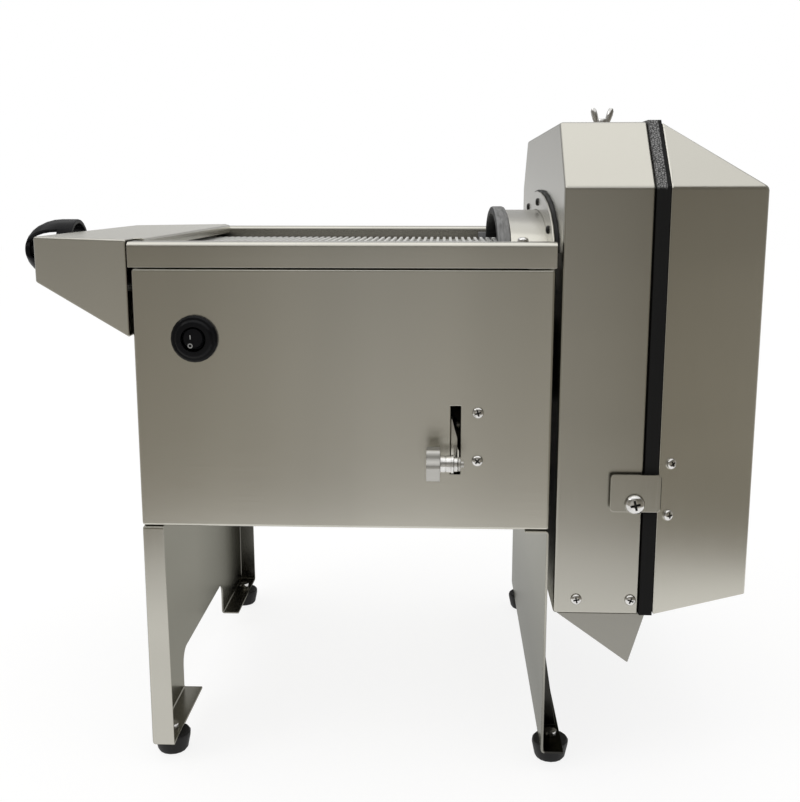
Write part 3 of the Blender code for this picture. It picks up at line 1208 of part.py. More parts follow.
def main():
    for obj in list(bpy.data.objects):
        bpy.data.objects.remove(obj)
    for step in BUILD:
        step()
    home = Vector((foot_offset(), FOOT_INSET, -STAND_DROP - FOOT_HEIGHT))
    for obj in bpy.data.objects:
        obj.location -= home


main()
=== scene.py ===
"""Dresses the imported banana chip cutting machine: sheet finishes, small fasteners, switch marks and the stage."""
import math

import bmesh
import bpy
from bpy.props import FloatProperty, FloatVectorProperty, PointerProperty
from mathutils import Matrix, Vector


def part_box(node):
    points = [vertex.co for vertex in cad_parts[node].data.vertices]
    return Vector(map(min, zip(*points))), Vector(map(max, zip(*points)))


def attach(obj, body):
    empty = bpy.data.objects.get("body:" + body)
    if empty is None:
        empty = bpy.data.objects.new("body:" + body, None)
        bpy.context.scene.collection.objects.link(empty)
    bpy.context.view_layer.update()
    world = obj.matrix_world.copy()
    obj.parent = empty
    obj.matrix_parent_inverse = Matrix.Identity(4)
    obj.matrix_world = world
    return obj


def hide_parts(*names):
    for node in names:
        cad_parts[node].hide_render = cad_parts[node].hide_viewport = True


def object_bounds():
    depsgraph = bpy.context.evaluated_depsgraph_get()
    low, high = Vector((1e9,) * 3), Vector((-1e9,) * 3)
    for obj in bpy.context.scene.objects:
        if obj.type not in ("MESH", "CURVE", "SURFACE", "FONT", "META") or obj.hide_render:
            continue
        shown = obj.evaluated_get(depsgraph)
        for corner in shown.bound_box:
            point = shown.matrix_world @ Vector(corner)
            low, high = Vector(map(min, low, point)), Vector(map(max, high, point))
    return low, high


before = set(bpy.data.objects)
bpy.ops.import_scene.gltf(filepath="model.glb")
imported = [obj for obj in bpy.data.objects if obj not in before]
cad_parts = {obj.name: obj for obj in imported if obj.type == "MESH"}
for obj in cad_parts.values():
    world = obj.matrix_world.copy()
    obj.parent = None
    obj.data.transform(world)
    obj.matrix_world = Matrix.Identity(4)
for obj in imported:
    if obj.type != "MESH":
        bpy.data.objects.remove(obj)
frame_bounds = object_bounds()

bl_info = {
    "name": "Banana chip cutter finish",
    "version": (1, 0, 0),
    "blender": (4, 5, 0),
    "location": "View3D > Sidebar > Chip cutter",
    "description": "Finishes, fasteners and stage of a belt-fed chip cutting machine",
    "category": "Object",
}

MM = 0.001
SETTINGS = "chip_cutter"
CORNER = Vector((-10.75, -30.0, 218.0)) * MM   # the body's lower left front corner
GAP = 0.3 * MM                                 # clearance between neighbouring pieces of the CAD model
SAME_POINT = 0.01 * MM                         # points of a CAD mesh closer than this are one point
CAD_SHARP = math.radians(34)                   # edges sharper than this stay sharp on the CAD nodes
FITTING_SHARP = math.radians(38)               # and on the meshes made here
WHEEL_TURN = math.radians(60)                  # turns one of the handwheel's windows up above the nose
ROCKER_LEAN = math.radians(8)                  # how far the rocker's face leans at rest
MIX_ONE, MIX_TWO, MIX_RESULT = 6, 7, 2         # colour sockets of the Mix node
FRONT, BACK, LEFT, RIGHT, UP = (0, -1, 0), (0, 1, 0), (-1, 0, 0), (1, 0, 0), (0, 0, 1)
FEET = [f"{side}_{end}_foot" for side in ("left", "right") for end in ("near", "far")]


def at(x, y, z):
    """A place given in millimetres from the body's corner."""
    return Vector((x, y, z)) * MM + CORNER


def middle_of(node):
    """Centre of a CAD node's box."""
    low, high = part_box(node)
    return (Vector(low) + Vector(high)) / 2


def colour_property(name, description, default):
    return FloatVectorProperty(name=name, description=description, default=default, size=3,
                               min=0.0, max=1.0, subtype="COLOR")


class SheetSettings(bpy.types.PropertyGroup):
    """Brushed stainless sheet"""
    colour: colour_property("Sheet colour", "Reflectance of the brushed sheet", (0.54, 0.525, 0.47))
    roughness: FloatProperty(name="Roughness", description="How dull the brushed sheet is",
                             default=0.25, min=0.05, max=1.0, subtype="FACTOR")
    grain: FloatProperty(name="Grain density", description="Brush strokes per metre across the grain",
                         default=1500.0, min=100.0, max=6000.0)
    tint: FloatProperty(name="Stroke contrast", description="How far single strokes vary in brightness",
                        default=0.022, min=0.0, max=0.5, subtype="FACTOR")


class FittingSettings(bpy.types.PropertyGroup):
    """Small fasteners and marks"""
    pan_radius: FloatProperty(name="Pan head radius", description="Radius of the panel screws' heads",
                              default=4.7 * MM, min=1 * MM, max=10 * MM, unit="LENGTH")
    pan_height: FloatProperty(name="Pan head height", description="Height of the panel screws' heads",
                              default=2.9 * MM, min=0.5 * MM, max=8 * MM, unit="LENGTH")
    flush_radius: FloatProperty(name="Flush head radius", description="Radius of the hinge's countersunk heads",
                                default=3.1 * MM, min=1 * MM, max=8 * MM, unit="LENGTH")
    steel: colour_property("Fastener colour", "Reflectance of the plated fasteners", (0.78, 0.77, 0.75))
    mark: colour_property("Mark colour", "Paint of the switch's two marks", (0.34, 0.34, 0.33))


class SoftSettings(bpy.types.PropertyGroup):
    """Rubber, foam and plastic"""
    rubber: colour_property("Rubber colour", "Trim, packing and feet", (0.010, 0.010, 0.010))
    foam: colour_property("Foam colour", "Woven face of the cover's gasket", (0.34, 0.34, 0.34))
    plastic: colour_property("Plastic colour", "Switch and handwheel", (0.006, 0.006, 0.007))
    knob: colour_property("Knob colour", "Star knob on the feed lever", (0.50, 0.49, 0.46))
    belt: colour_property("Belt colour", "Ribbed conveyor belt", (0.92, 0.92, 0.89))


class StageSettings(bpy.types.PropertyGroup):
    """Camera, lamps and floor"""
    camera: FloatVectorProperty(name="Camera position", description="Where the camera stands", size=3,
                                unit="LENGTH", default=(0.24101, -0.89767, 0.49398))
    lens: FloatProperty(name="Focal length", description="On a sensor 36 mm wide", default=49.003,
                        min=10, max=300, unit="CAMERA")
    yaw: FloatProperty(name="Camera turn", description="Turn to the left from straight ahead",
                       default=math.radians(2.315), subtype="ANGLE")
    pitch: FloatProperty(name="Camera tilt", description="Tilt down from level",
                         default=math.radians(10.929), subtype="ANGLE")
    world: FloatProperty(name="Room light", description="Strength of the even light on dull surfaces",
                         default=0.62, min=0.0, max=2.0)
    card: FloatProperty(name="Card brightness", description="Ring of grey cards that the sheets mirror",
                        default=1.0, min=0.0, max=3.0)


class ChipCutterSettings(bpy.types.PropertyGroup):
    """All settings of the machine's dressing"""
    sheet: PointerProperty(type=SheetSettings, name="Sheet", description="Brushed stainless sheet")
    fittings: PointerProperty(type=FittingSettings, name="Fittings", description="Small fasteners")
    soft: PointerProperty(type=SoftSettings, name="Soft parts", description="Rubber, foam and plastic")
    stage: PointerProperty(type=StageSettings, name="Stage", description="Camera, lamps and floor")


def settings_of(context):
    return getattr(context.scene, SETTINGS)


class Finish:
    """A Principled material being wired up."""

    def __init__(self, name, colour, roughness, metallic=0.0, **sockets):
        self.mat = bpy.data.materials.get(name) or bpy.data.materials.new(name)
        self.mat.use_nodes = True
        self.tree = self.mat.node_tree
        self.tree.nodes.clear()
        self.out = self.add("ShaderNodeOutputMaterial")
        self.shader = self.add("ShaderNodeBsdfPrincipled")
        self.wire(self.shader, "BSDF", self.out, "Surface")
        self.shader.inputs["Base Color"].default_value = (*colour, 1.0)
        self.shader.inputs["Roughness"].default_value = roughness
        self.shader.inputs["Metallic"].default_value = metallic
        for key, value in sockets.items():
            self.shader.inputs[key.replace("_", " ")].default_value = value
        self.place = self.add("ShaderNodeTexCoord")

    def add(self, kind, **values):
        node = self.tree.nodes.new(kind)
        for key, value in values.items():
            setattr(node, key, value)
        return node

    def wire(self, one, output, two, socket):
        self.tree.links.new(one.outputs[output], two.inputs[socket])

    def stretched(self, scale=(1, 1, 1)):
        """Object coordinates stretched by a scale for each axis."""
        node = self.add("ShaderNodeMapping")
        node.inputs["Scale"].default_value = scale
        self.wire(self.place, "Object", node, "Vector")
        return node

    def axes(self, node=None, output="Object"):
        """X, Y and Z of a node's vector, by default of the object coordinates."""
        split = self.add("ShaderNodeSeparateXYZ")
        self.wire(node or self.place, output, split, "Vector")
        return split

    def noise(self, scale, detail=3.0, stretch=(1, 1, 1)):
        """Noise in strokes per metre."""
        node = self.add("ShaderNodeTexNoise")
        node.inputs["Scale"].default_value = scale
        node.inputs["Detail"].default_value = detail
        self.wire(self.stretched(stretch), "Vector", node, "Vector")
        return node

    def band(self, node, output, low, high, start=0.3, end=0.7):
        """Goes from low to high while the input goes from start to end."""
        span = self.add("ShaderNodeMapRange")
        for key, value in (("From Min", start), ("From Max", end), ("To Min", low), ("To Max", high)):
            span.inputs[key].default_value = value
        self.wire(node, output, span, "Value")
        return span

    def both(self, one, two):
        """Product of two bands."""
        product = self.add("ShaderNodeMath", operation="MULTIPLY")
        self.wire(one, "Result", product, 0)
        self.wire(two, "Result", product, 1)
        return product

    def blend(self, factor, output, one, two):
        """Colour between two, each a colour or a blend, by a factor node."""
        mix = self.add("ShaderNodeMix", data_type="RGBA")
        self.wire(factor, output, mix, "Factor")
        for socket, value in ((MIX_ONE, one), (MIX_TWO, two)):
            if isinstance(value, tuple):
                mix.inputs[socket].default_value = (*value, 1.0)
            else:
                self.wire(value, MIX_RESULT, mix, socket)
        return mix

    def mottle(self, noise, one, two):
        """Colour that wanders between two with a noise."""
        return self.blend(self.band(noise, "Fac", 0.0, 1.0), "Result", one, two)

    def paint(self, mix):
        self.wire(mix, MIX_RESULT, self.shader, "Base Color")

    def dull(self, noise, low, high):
        """Roughness that wanders between two values with a noise."""
        self.wire(self.band(noise, "Fac", low, high), "Result", self.shader, "Roughness")

    def bump(self, node, output, strength, distance):
        bump = self.add("ShaderNodeBump")
        bump.inputs["Strength"].default_value = strength
        bump.inputs["Distance"].default_value = distance
        self.wire(node, output, bump, "Height")
        self.wire(bump, "Normal", self.shader, "Normal")


def scaled(colour, factor):
    return tuple(min(1.0, c * factor) for c in colour)


def brushed_sheet(context, along, shade=1.0, name=None):
    """Brushed stainless whose strokes run along one axis, with wide soft bands of painted reflection across them;
    the shade factor paints light and shade into the whole sheet.
    """
    sheet = settings_of(context).sheet
    colour = scaled(sheet.colour, shade)
    finish = Finish(name or f"brushed_sheet_{along.lower()}", colour, sheet.roughness, 1.0)
    strokes = finish.noise(sheet.grain, 2.0, tuple(0.012 if axis == along else 1.0 for axis in "XYZ"))
    # Painted reflection: bands across the grain take the sheet down to four fifths of its colour and stand in for
    # its stretched reflections.
    painted_reflection_bands = finish.noise(11.0, 1.0, tuple(1.0 if axis == along else 0.12 for axis in "XYZ"))
    fine = finish.mottle(strokes, scaled(colour, 1 - sheet.tint), scaled(colour, 1 + sheet.tint))
    finish.cover = finish.blend(finish.band(painted_reflection_bands, "Fac", 0.0, 0.5), "Result", fine, scaled(colour, 0.8))
    finish.paint(finish.cover)
    finish.dull(strokes, sheet.roughness - 0.015, sheet.roughness + 0.02)
    finish.bump(strokes, "Fac", 0.02, 0.008 * MM)
    return finish


def shade_over(context, finish, *bands):
    """Paints light and shade into a sheet: blends its cover over each band in turn to a share of the sheet colour.
    """
    colour = settings_of(context).sheet.colour
    cover = finish.cover
    for factor, output, share in bands:
        cover = finish.blend(factor, output, cover, scaled(colour, share))
    finish.paint(cover)
    return finish.mat


def nose_sheet_lit_top(context):
    """Nose sheet with painted light on its upward faces, which makes its top paler."""
    finish = brushed_sheet(context, "Y", 1.1, "nose_sheet_lit_top")
    facing = finish.axes(finish.add("ShaderNodeNewGeometry"), "Normal")
    # Painted light: faces turned up are blended towards a brighter copy of the sheet, as if lit from above.
    top = finish.band(facing, "Z", 0.0, 0.85, 0.7, 0.95)
    return shade_over(context, finish, (top, "Result", 1.72))


def trough_sheet_shaded_inside(context):
    """Trough sheet with painted shade inside it, below its back rail."""
    finish = brushed_sheet(context, "X", 1.15, "trough_sheet_shaded_inside")
    low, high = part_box("feed_trough")
    axes = finish.axes()
    # Painted shade: inside the trough and below the rail's top, the sheet goes to 0.62 of its colour.
    inside = finish.band(axes, "Y", 0.0, 1.0, low[1] + 60 * MM, low[1] + 80 * MM)
    below = finish.band(axes, "Z", 1.0, 0.0, high[2] - 2.5 * MM, high[2] - 1.5 * MM)
    return shade_over(context, finish, (finish.both(inside, below), "Value", 0.62))


def stand_sheet(context, name):
    """Sheet of the two stands, with weaker reflections at a glancing angle."""
    finish = brushed_sheet(context, "Z", name=name)
    finish.shader.inputs["Specular Tint"].default_value = (0.45, 0.45, 0.42, 1.0)
    return finish, finish.axes()


def right_stand_sheet_shaded(context):
    """Stand sheet with painted shade towards the floor and in the corner of its floor flange."""
    finish, axes = stand_sheet(context, "right_stand_sheet_shaded")
    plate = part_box("right_stand")[0][0] + 18 * MM   # left face of the upright plate, above the flange
    # Painted shade: darker towards the floor, and nearly black past the plate, in the corner of the floor flange.
    low = finish.band(axes, "Z", 0.6, 0.0, 60 * MM, 180 * MM)
    flange = finish.band(axes, "X", 0.0, 0.93, plate + 2.5 * MM, plate + 3.5 * MM)
    return shade_over(context, finish, (low, "Result", 0.15), (flange, "Result", 0.04))


def left_stand_sheet_shaded(context):
    """Stand sheet with painted shade behind its front flange, under the body."""
    finish, axes = stand_sheet(context, "left_stand_sheet_shaded")
    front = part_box("left_stand")[0][1]
    # Painted shade: the sheet goes darker just behind the front flange and darker still towards the back, under the
    # body.
    near = finish.band(axes, "Y", 0.0, 0.4, front + 1 * MM, front + 4 * MM)
    far = finish.band(axes, "Y", 0.0, 0.6, front + 180 * MM, front + 400 * MM)
    return shade_over(context, finish, (near, "Result", 0.28), (far, "Result", 0.08))


def turned_steel(context):
    """Bright turned or plated steel."""
    steel = tuple(settings_of(context).fittings.steel)
    finish = Finish("bright_turned_steel", steel, 0.16, 1.0)
    wear = finish.noise(160.0, 4.0)
    finish.paint(finish.mottle(wear, steel, scaled(steel, 0.82)))
    finish.dull(wear, 0.12, 0.26)
    finish.bump(wear, "Fac", 0.05, 0.03 * MM)
    return finish.mat


def blade_steel(context):
    """Ground knife and disc steel."""
    steel = tuple(settings_of(context).fittings.steel)
    finish = Finish("ground_blade_steel", scaled(steel, 0.92), 0.22, 1.0)
    marks = finish.noise(900.0, 2.0, (1.0, 0.03, 1.0))
    finish.paint(finish.mottle(marks, scaled(steel, 0.96), scaled(steel, 0.8)))
    finish.bump(marks, "Fac", 0.05, 0.02 * MM)
    return finish.mat


def cast_paint():
    """Grey painted casting."""
    finish = Finish("grey_cast_paint", (0.22, 0.22, 0.23), 0.5)
    grit = finish.noise(700.0)
    finish.paint(finish.mottle(grit, (0.25, 0.25, 0.26), (0.17, 0.17, 0.18)))
    finish.bump(grit, "Fac", 0.25, 0.15 * MM)
    return finish.mat


def trim_rubber(context):
    """Black rubber with a faint bloom."""
    colour = tuple(settings_of(context).soft.rubber)
    finish = Finish("trim_rubber", colour, 0.55, Specular_IOR_Level=0.22)
    bloom = finish.noise(60.0, 4.0)
    finish.paint(finish.mottle(bloom, colour, scaled(colour, 2.4)))
    finish.dull(bloom, 0.42, 0.66)
    finish.bump(finish.noise(1800.0, 2.0), "Fac", 0.15, 0.08 * MM)
    return finish.mat


def worn_rubber(context):
    """Pale, streaked outside of the inlet's trim."""
    foam = tuple(settings_of(context).soft.foam)
    finish = Finish("worn_trim_rubber", foam, 0.7, Specular_IOR_Level=0.2)
    streaks = finish.noise(420.0, 4.0, (1.0, 0.12, 0.12))
    finish.paint(finish.mottle(streaks, scaled(foam, 0.5), scaled(foam, 1.05)))
    finish.bump(streaks, "Fac", 0.4, 0.3 * MM)
    return finish.mat


def gasket_foam(context):
    """Gasket with a woven face over the chamfers and the top, and plain black rubber down the front."""
    soft = settings_of(context).soft
    rubber, foam = tuple(soft.rubber), tuple(soft.foam)
    finish = Finish("gasket_foam", rubber, 0.7, Specular_IOR_Level=0.15)
    weave = finish.add("ShaderNodeTexVoronoi", feature="DISTANCE_TO_EDGE")
    weave.inputs["Scale"].default_value = 520.0
    finish.wire(finish.stretched(), "Vector", weave, "Vector")
    woven = finish.blend(finish.band(weave, "Distance", 0.0, 1.0, 0.02, 0.22), "Result", rubber, foam)
    axes = finish.axes()
    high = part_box("housing_gasket")[1]
    chamfer, side = high[2] - 53.5 * MM, high[0] - 3 * MM
    top = finish.band(axes, "Z", 0.0, 1.0, chamfer - 2 * MM, chamfer + 1 * MM)
    edge = finish.band(axes, "X", 1.0, 0.0, side, side + 0.4 * MM)
    finish.paint(finish.blend(finish.both(top, edge), "Value", rubber, woven))
    finish.bump(weave, "Distance", 0.5, 0.3 * MM)
    return finish.mat


def gloss_plastic(name, colour, roughness=0.26):
    """Moulded plastic with a slight orange peel."""
    finish = Finish(name, colour, roughness, Specular_IOR_Level=0.1, Coat_Weight=0.02, Coat_Roughness=0.05)
    smear = finish.noise(45.0)
    finish.paint(finish.mottle(smear, colour, scaled(colour, 1.18)))
    finish.dull(smear, roughness - 0.06, roughness + 0.1)
    finish.bump(finish.noise(420.0, 2.0), "Fac", 0.08, 0.1 * MM)
    return finish.mat


def satin_knob(context):
    """Satin plated casting of the star knob."""
    finish = Finish("satin_knob", tuple(settings_of(context).soft.knob), 0.3, 0.75)
    finish.bump(finish.noise(500.0, 2.0), "Fac", 0.1, 0.05 * MM)
    return finish.mat


def dark_fitting_and_recess_shade():
    """Black fastener finish, also the painted shade in the screws' cross recesses."""
    finish = Finish("black_oxide_and_recess_shade", (0.03, 0.028, 0.026), 0.45, 0.6)
    finish.bump(finish.noise(900.0, 2.0), "Fac", 0.1, 0.03 * MM)
    return finish.mat


def belt_cover(context):
    """White food belt with painted shade between its ribs."""
    colour = tuple(settings_of(context).soft.belt)
    finish = Finish("white_belt_cover", colour, 0.48)
    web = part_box("conveyor_belt")[1][2] - 3 * MM   # the belt's face between the ribs
    # Painted shade: between the ribs the belt's face goes to half its colour.
    rib_gap_shade = finish.band(finish.axes(), "Z", 0.0, 1.0, web, web + 2.4 * MM)
    unshaded_belt = finish.mottle(finish.noise(90.0, 4.0), colour, scaled(colour, 0.9))
    finish.paint(finish.blend(rib_gap_shade, "Result", scaled(colour, 0.5), unshaded_belt))
    finish.bump(finish.noise(1200.0, 2.0), "Fac", 0.12, 0.1 * MM)
    return finish.mat


def dress(nodes, mat):
    """Gives CAD nodes a finish in place of their plain one."""
    for name in nodes:
        mesh = bpy.data.objects[name].data
        mesh.materials.clear()
        mesh.materials.append(mat)


def soften(nodes, width):
    """Rounds the sharp edges of CAD nodes, whose meshes come as separate triangles."""
    for name in nodes:
        modifiers = bpy.data.objects[name].modifiers
        modifiers.new("Weld", "WELD").merge_threshold = SAME_POINT
        flat = modifiers.new("Flat faces", "DECIMATE")
        flat.decimate_type = "DISSOLVE"
        flat.angle_limit = math.radians(1)
        bevel = modifiers.new("Edge", "BEVEL")
        bevel.width = width
        bevel.segments = 2
        bevel.limit_method = "ANGLE"
        bevel.angle_limit = math.radians(40)
        bevel.use_clamp_overlap = False


def smooth_faces():
    """Node group that shades every face smooth, apart from the sharp edges."""
    group = bpy.data.node_groups.new("smooth_faces", "GeometryNodeTree")
    for way in ("INPUT", "OUTPUT"):
        group.interface.new_socket("Geometry", in_out=way, socket_type="NodeSocketGeometry")
    kinds = ("NodeGroupInput", "GeometryNodeMergeByDistance", "GeometryNodeSetShadeSmooth",
             "GeometryNodeSetShadeSmooth", "NodeGroupOutput")
    chain = [group.nodes.new(kind) for kind in kinds]
    for one, two in zip(chain, chain[1:]):
        group.links.new(one.outputs[0], two.inputs[0])
    merge, edges = chain[1], chain[3]
    merge.inputs["Distance"].default_value = SAME_POINT
    edges.domain = "EDGE"
    edges.inputs["Shade Smooth"].default_value = False
    angle = group.nodes.new("GeometryNodeInputMeshEdgeAngle")
    sharp = group.nodes.new("FunctionNodeCompare")
    sharp.operation = "GREATER_THAN"
    sharp.inputs["B"].default_value = CAD_SHARP
    group.links.new(angle.outputs[0], sharp.inputs["A"])
    group.links.new(sharp.outputs[0], edges.inputs["Selection"])
    return group


def circle(bm, radius, height, segments):
    """Points of a circle round Z, or the one point on Z when the radius is nought."""
    if radius == 0:
        return [bm.verts.new((0, 0, height))]
    turns = [2 * math.pi * i / segments for i in range(segments)]
    return [bm.verts.new((radius * math.cos(t), radius * math.sin(t), height)) for t in turns]


def skin(bm, rings, closed=False, capped=False):
    """Faces between each ring of points and the next, and over the two ends if they are capped."""
    faces = []
    following = rings[1:] + rings[:1] if closed else rings[1:]
    for one, two in zip(rings, following):
        count = max(len(one), len(two))
        for i in range(count):
            j = (i + 1) % count
            corners = [one[i % len(one)], one[j % len(one)], two[j % len(two)], two[i % len(two)]]
            faces.append(bm.faces.new([v for n, v in enumerate(corners) if v not in corners[:n]]))
    if capped:
        faces += [bm.faces.new(rings[0]), bm.faces.new(rings[-1])]
    return faces


def smoothed(mesh):
    """Shades a mesh smooth, apart from its sharp edges."""
    mesh.shade_smooth()
    mesh.set_sharp_from_angle(angle=FITTING_SHARP)
    return mesh


def mesh_from(bm, name, outward=True):
    """Turns a bmesh into a mesh, with the faces of a closed one turned outward."""
    if outward:
        bmesh.ops.recalc_face_normals(bm, faces=bm.faces)
    mesh = bpy.data.meshes.new(name)
    bm.to_mesh(mesh)
    bm.free()
    return smoothed(mesh)


def turned_mesh(name, profile, segments=40):
    """A solid of (radius, height) points turned about Z, first and last on the axis."""
    bm = bmesh.new()
    skin(bm, [circle(bm, radius, height, segments) for radius, height in profile])
    return mesh_from(bm, name)


def cross_mesh(name, reach, width, top, floor):
    """Tapered cross that presses a driver recess."""
    bm = bmesh.new()
    for a, b in ((reach, width), (width, reach)):
        corners = ((-1, -1), (1, -1), (1, 1), (-1, 1))
        rings = [[bm.verts.new((x * a * along, y * b * across, z)) for x, y in corners]
                 for along, across, z in ((1, 1, top), (0.55, 0.75, floor))]
        skin(bm, rings, capped=True)
    return mesh_from(bm, name)


def recessed_head(name, profile, reach, width, top, floor, finishes):
    """Screw head whose cross recess takes the second finish, as a finished mesh; the black second finish paints
    shade into the recess.
    """
    head = bpy.data.objects.new(name, turned_mesh(name, profile))
    tool = bpy.data.objects.new(name + "_tool", cross_mesh(name + "_tool", reach, width, top, floor))
    for obj, mat in zip((head, tool), finishes):
        obj.data.materials.append(mat)
        bpy.context.scene.collection.objects.link(obj)
    press = head.modifiers.new("Recess", "BOOLEAN")
    press.operation = "DIFFERENCE"
    press.solver = "EXACT"
    press.use_self = True
    press.material_mode = "TRANSFER"
    press.object = tool
    ready = head.evaluated_get(bpy.context.evaluated_depsgraph_get())
    mesh = bpy.data.meshes.new_from_object(ready)
    for obj in (head, tool):
        bpy.data.objects.remove(obj)
    return smoothed(mesh)


def pan_head(name, radius, height, finishes):
    """Pan head with a rolled rim."""
    r, h = radius, height
    profile = [(0, h), (0.4 * r, 0.985 * h), (0.68 * r, 0.9 * h), (0.86 * r, 0.72 * h), (0.96 * r, 0.46 * h),
               (r, 0.2 * h), (0.985 * r, 0), (0, 0)]
    return recessed_head(name, profile, 0.62 * r, 0.15 * r, h * 1.2, h * 0.25, finishes)


def flush_head(name, radius, finishes):
    """Countersunk head that shows a shallow dish."""
    r = radius
    profile = [(0, 0.32 * MM), (0.8 * r, 0.3 * MM), (0.96 * r, 0.16 * MM), (r, 0), (0, -0.02 * MM)]
    return recessed_head(name, profile, 0.62 * r, 0.15 * r, 0.8 * MM, 0.05 * MM, finishes)


def place(name, mesh, body, mats=(), matrix=Matrix()):
    """Links a new piece with its finishes and lets it ride on a body."""
    obj = bpy.data.objects.new(name, mesh)
    obj.matrix_world = matrix
    bpy.context.scene.collection.objects.link(obj)
    for mat in mats:
        mesh.materials.append(mat)
    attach(obj, body)
    return obj


def stand_up(name, mesh, centre, normal, body, mats=(), spin=0.0):
    """Places a mesh made round Z so that it stands on a surface."""
    turn = Vector(normal).normalized().to_track_quat("Z", "Y").to_matrix().to_4x4()
    matrix = Matrix.Translation(centre) @ turn @ Matrix.Rotation(spin, 4, "Z")
    return place(name, mesh, body, mats, matrix)


def cover_slope():
    """Direction out of the cover's tapered front sheet, and where the sheet starts along X."""
    low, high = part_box("housing_cover")
    run, fall = high[0] - low[0], 52 * MM
    return Vector((fall, -run, 0)).normalized(), low[0]


class CHIPCUTTER_OT_sheets(bpy.types.Operator):
    """Brush the folded stainless sheets"""
    bl_idname = "chip_cutter.sheets"
    bl_label = "Brush the sheets"

    def execute(self, context):
        # The third column paints light and shade: each group's copy of the one stainless is made brighter or darker
        # as it is lit, the chute darkest.
        for nodes, along, shade, name in (
                (["front_panel", "body_frame", "base_plate"], "X", 1.15, None),
                (["cutter_housing", "inlet_flange", "latch_plate"], "Z", 0.96, None),
                (["inlet_tube", "lever_bracket", "gearmotor_bracket"], "Y", 1.15, None),
                (["housing_cover"], "Z", 1.18, "lit_cover_sheet"),
                (["discharge_chute"], "Y", 0.6, "shaded_chute_sheet")):
            dress(nodes, brushed_sheet(context, along, shade, name).mat)
        dress(["feed_trough"], trough_sheet_shaded_inside(context))
        dress(["nose_hood"], nose_sheet_lit_top(context))
        dress(["left_stand"], left_stand_sheet_shaded(context))
        dress(["right_stand"], right_stand_sheet_shaded(context))
        soften(["front_panel", "feed_trough", "cutter_housing", "housing_cover", "nose_hood", "latch_plate",
                "inlet_flange", "left_stand", "right_stand", "discharge_chute"], 0.6 * MM)
        return {"FINISHED"}


class CHIPCUTTER_OT_machined(bpy.types.Operator):
    """Finish the turned, ground and cast pieces"""
    bl_idname = "chip_cutter.machined"
    bl_label = "Finish the machined pieces"

    def execute(self, context):
        dress(["cutter_disc", "knife_1", "knife_2"], blade_steel(context))
        bright = ["drive_roller", "tail_roller", "takeup_screw", "hinge_fixed_leaf", "hinge_cover_leaf",
                  "latch_screw", "wing_nut", "cutter_shaft", "disc_nut", "inner_bearing", "outer_bearing",
                  "motor_shaft", "gearmotor_sprocket", "roller_sprocket", "feed_chain", "feed_lever"]
        dress(bright + [f"{foot}_bolt" for foot in FEET], turned_steel(context))
        dress(["drive_block_near", "drive_block_far", "takeup_yoke", "bearing_housing", "cutter_pulley",
               "motor_pulley", "motor", "feed_gearmotor"], cast_paint())
        soften(["feed_lever"], 0.4 * MM)
        return {"FINISHED"}


class CHIPCUTTER_OT_rubber(bpy.types.Operator):
    """Finish the rubber trim, gasket, packing, feet and drive belt"""
    bl_idname = "chip_cutter.rubber"
    bl_label = "Finish the rubber"

    def execute(self, context):
        rubber = trim_rubber(context)
        dress(["inlet_trim", "inlet_packing", "drive_belt", *FEET], rubber)
        dress(["housing_gasket"], gasket_foam(context))
        self.trim(rubber, worn_rubber(context))
        return {"FINISHED"}

    @staticmethod
    def trim(rubber, worn):
        """Rounded edging round the mouth of the arched inlet, pale outside and black inside."""
        low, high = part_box("inlet_trim")
        # The section in millimetres: along X from the mouth, and out from the inlet's sheet.
        section = [(0, -2.7), (0.6, -4.1), (2.0, -4.7), (10.0, -4.7), (11.4, -4.1), (12.0, -2.7), (12.0, 1.2),
                   (11.4, 2.6), (10.0, 3.2), (2.0, 3.2), (0.6, 2.6), (0, 1.2)]
        proud = max(out for x, out in section)
        worn_from = 2.0
        middle = (low[1] + high[1]) / 2
        half = (high[1] - low[1]) / 2 - proud * MM
        rise = high[2] - low[2] - proud * MM
        steps = 72
        bm = bmesh.new()
        rings = []
        for i in range(steps + 1):
            t = math.pi * i / steps
            rings.append([bm.verts.new((low[0] + x * MM, middle + (half + out * MM) * math.cos(t),
                                        low[2] + (rise + out * MM) * math.sin(t))) for x, out in section])
        sides = skin(bm, rings, capped=True)[:-2]
        for n, face in enumerate(sides):
            one, two = section[n % len(section)], section[(n + 1) % len(section)]
            face.material_index = int(min(one[1], two[1]) > worn_from)
        edging = place("mouth_trim", mesh_from(bm, "mouth_trim"), "machine", (rubber, worn))
        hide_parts("inlet_trim")


class CHIPCUTTER_OT_belt(bpy.types.Operator):
    """Finish the ribbed conveyor belt"""
    bl_idname = "chip_cutter.belt"
    bl_label = "Finish the belt"

    def execute(self, context):
        dress(["conveyor_belt"], belt_cover(context))
        return {"FINISHED"}


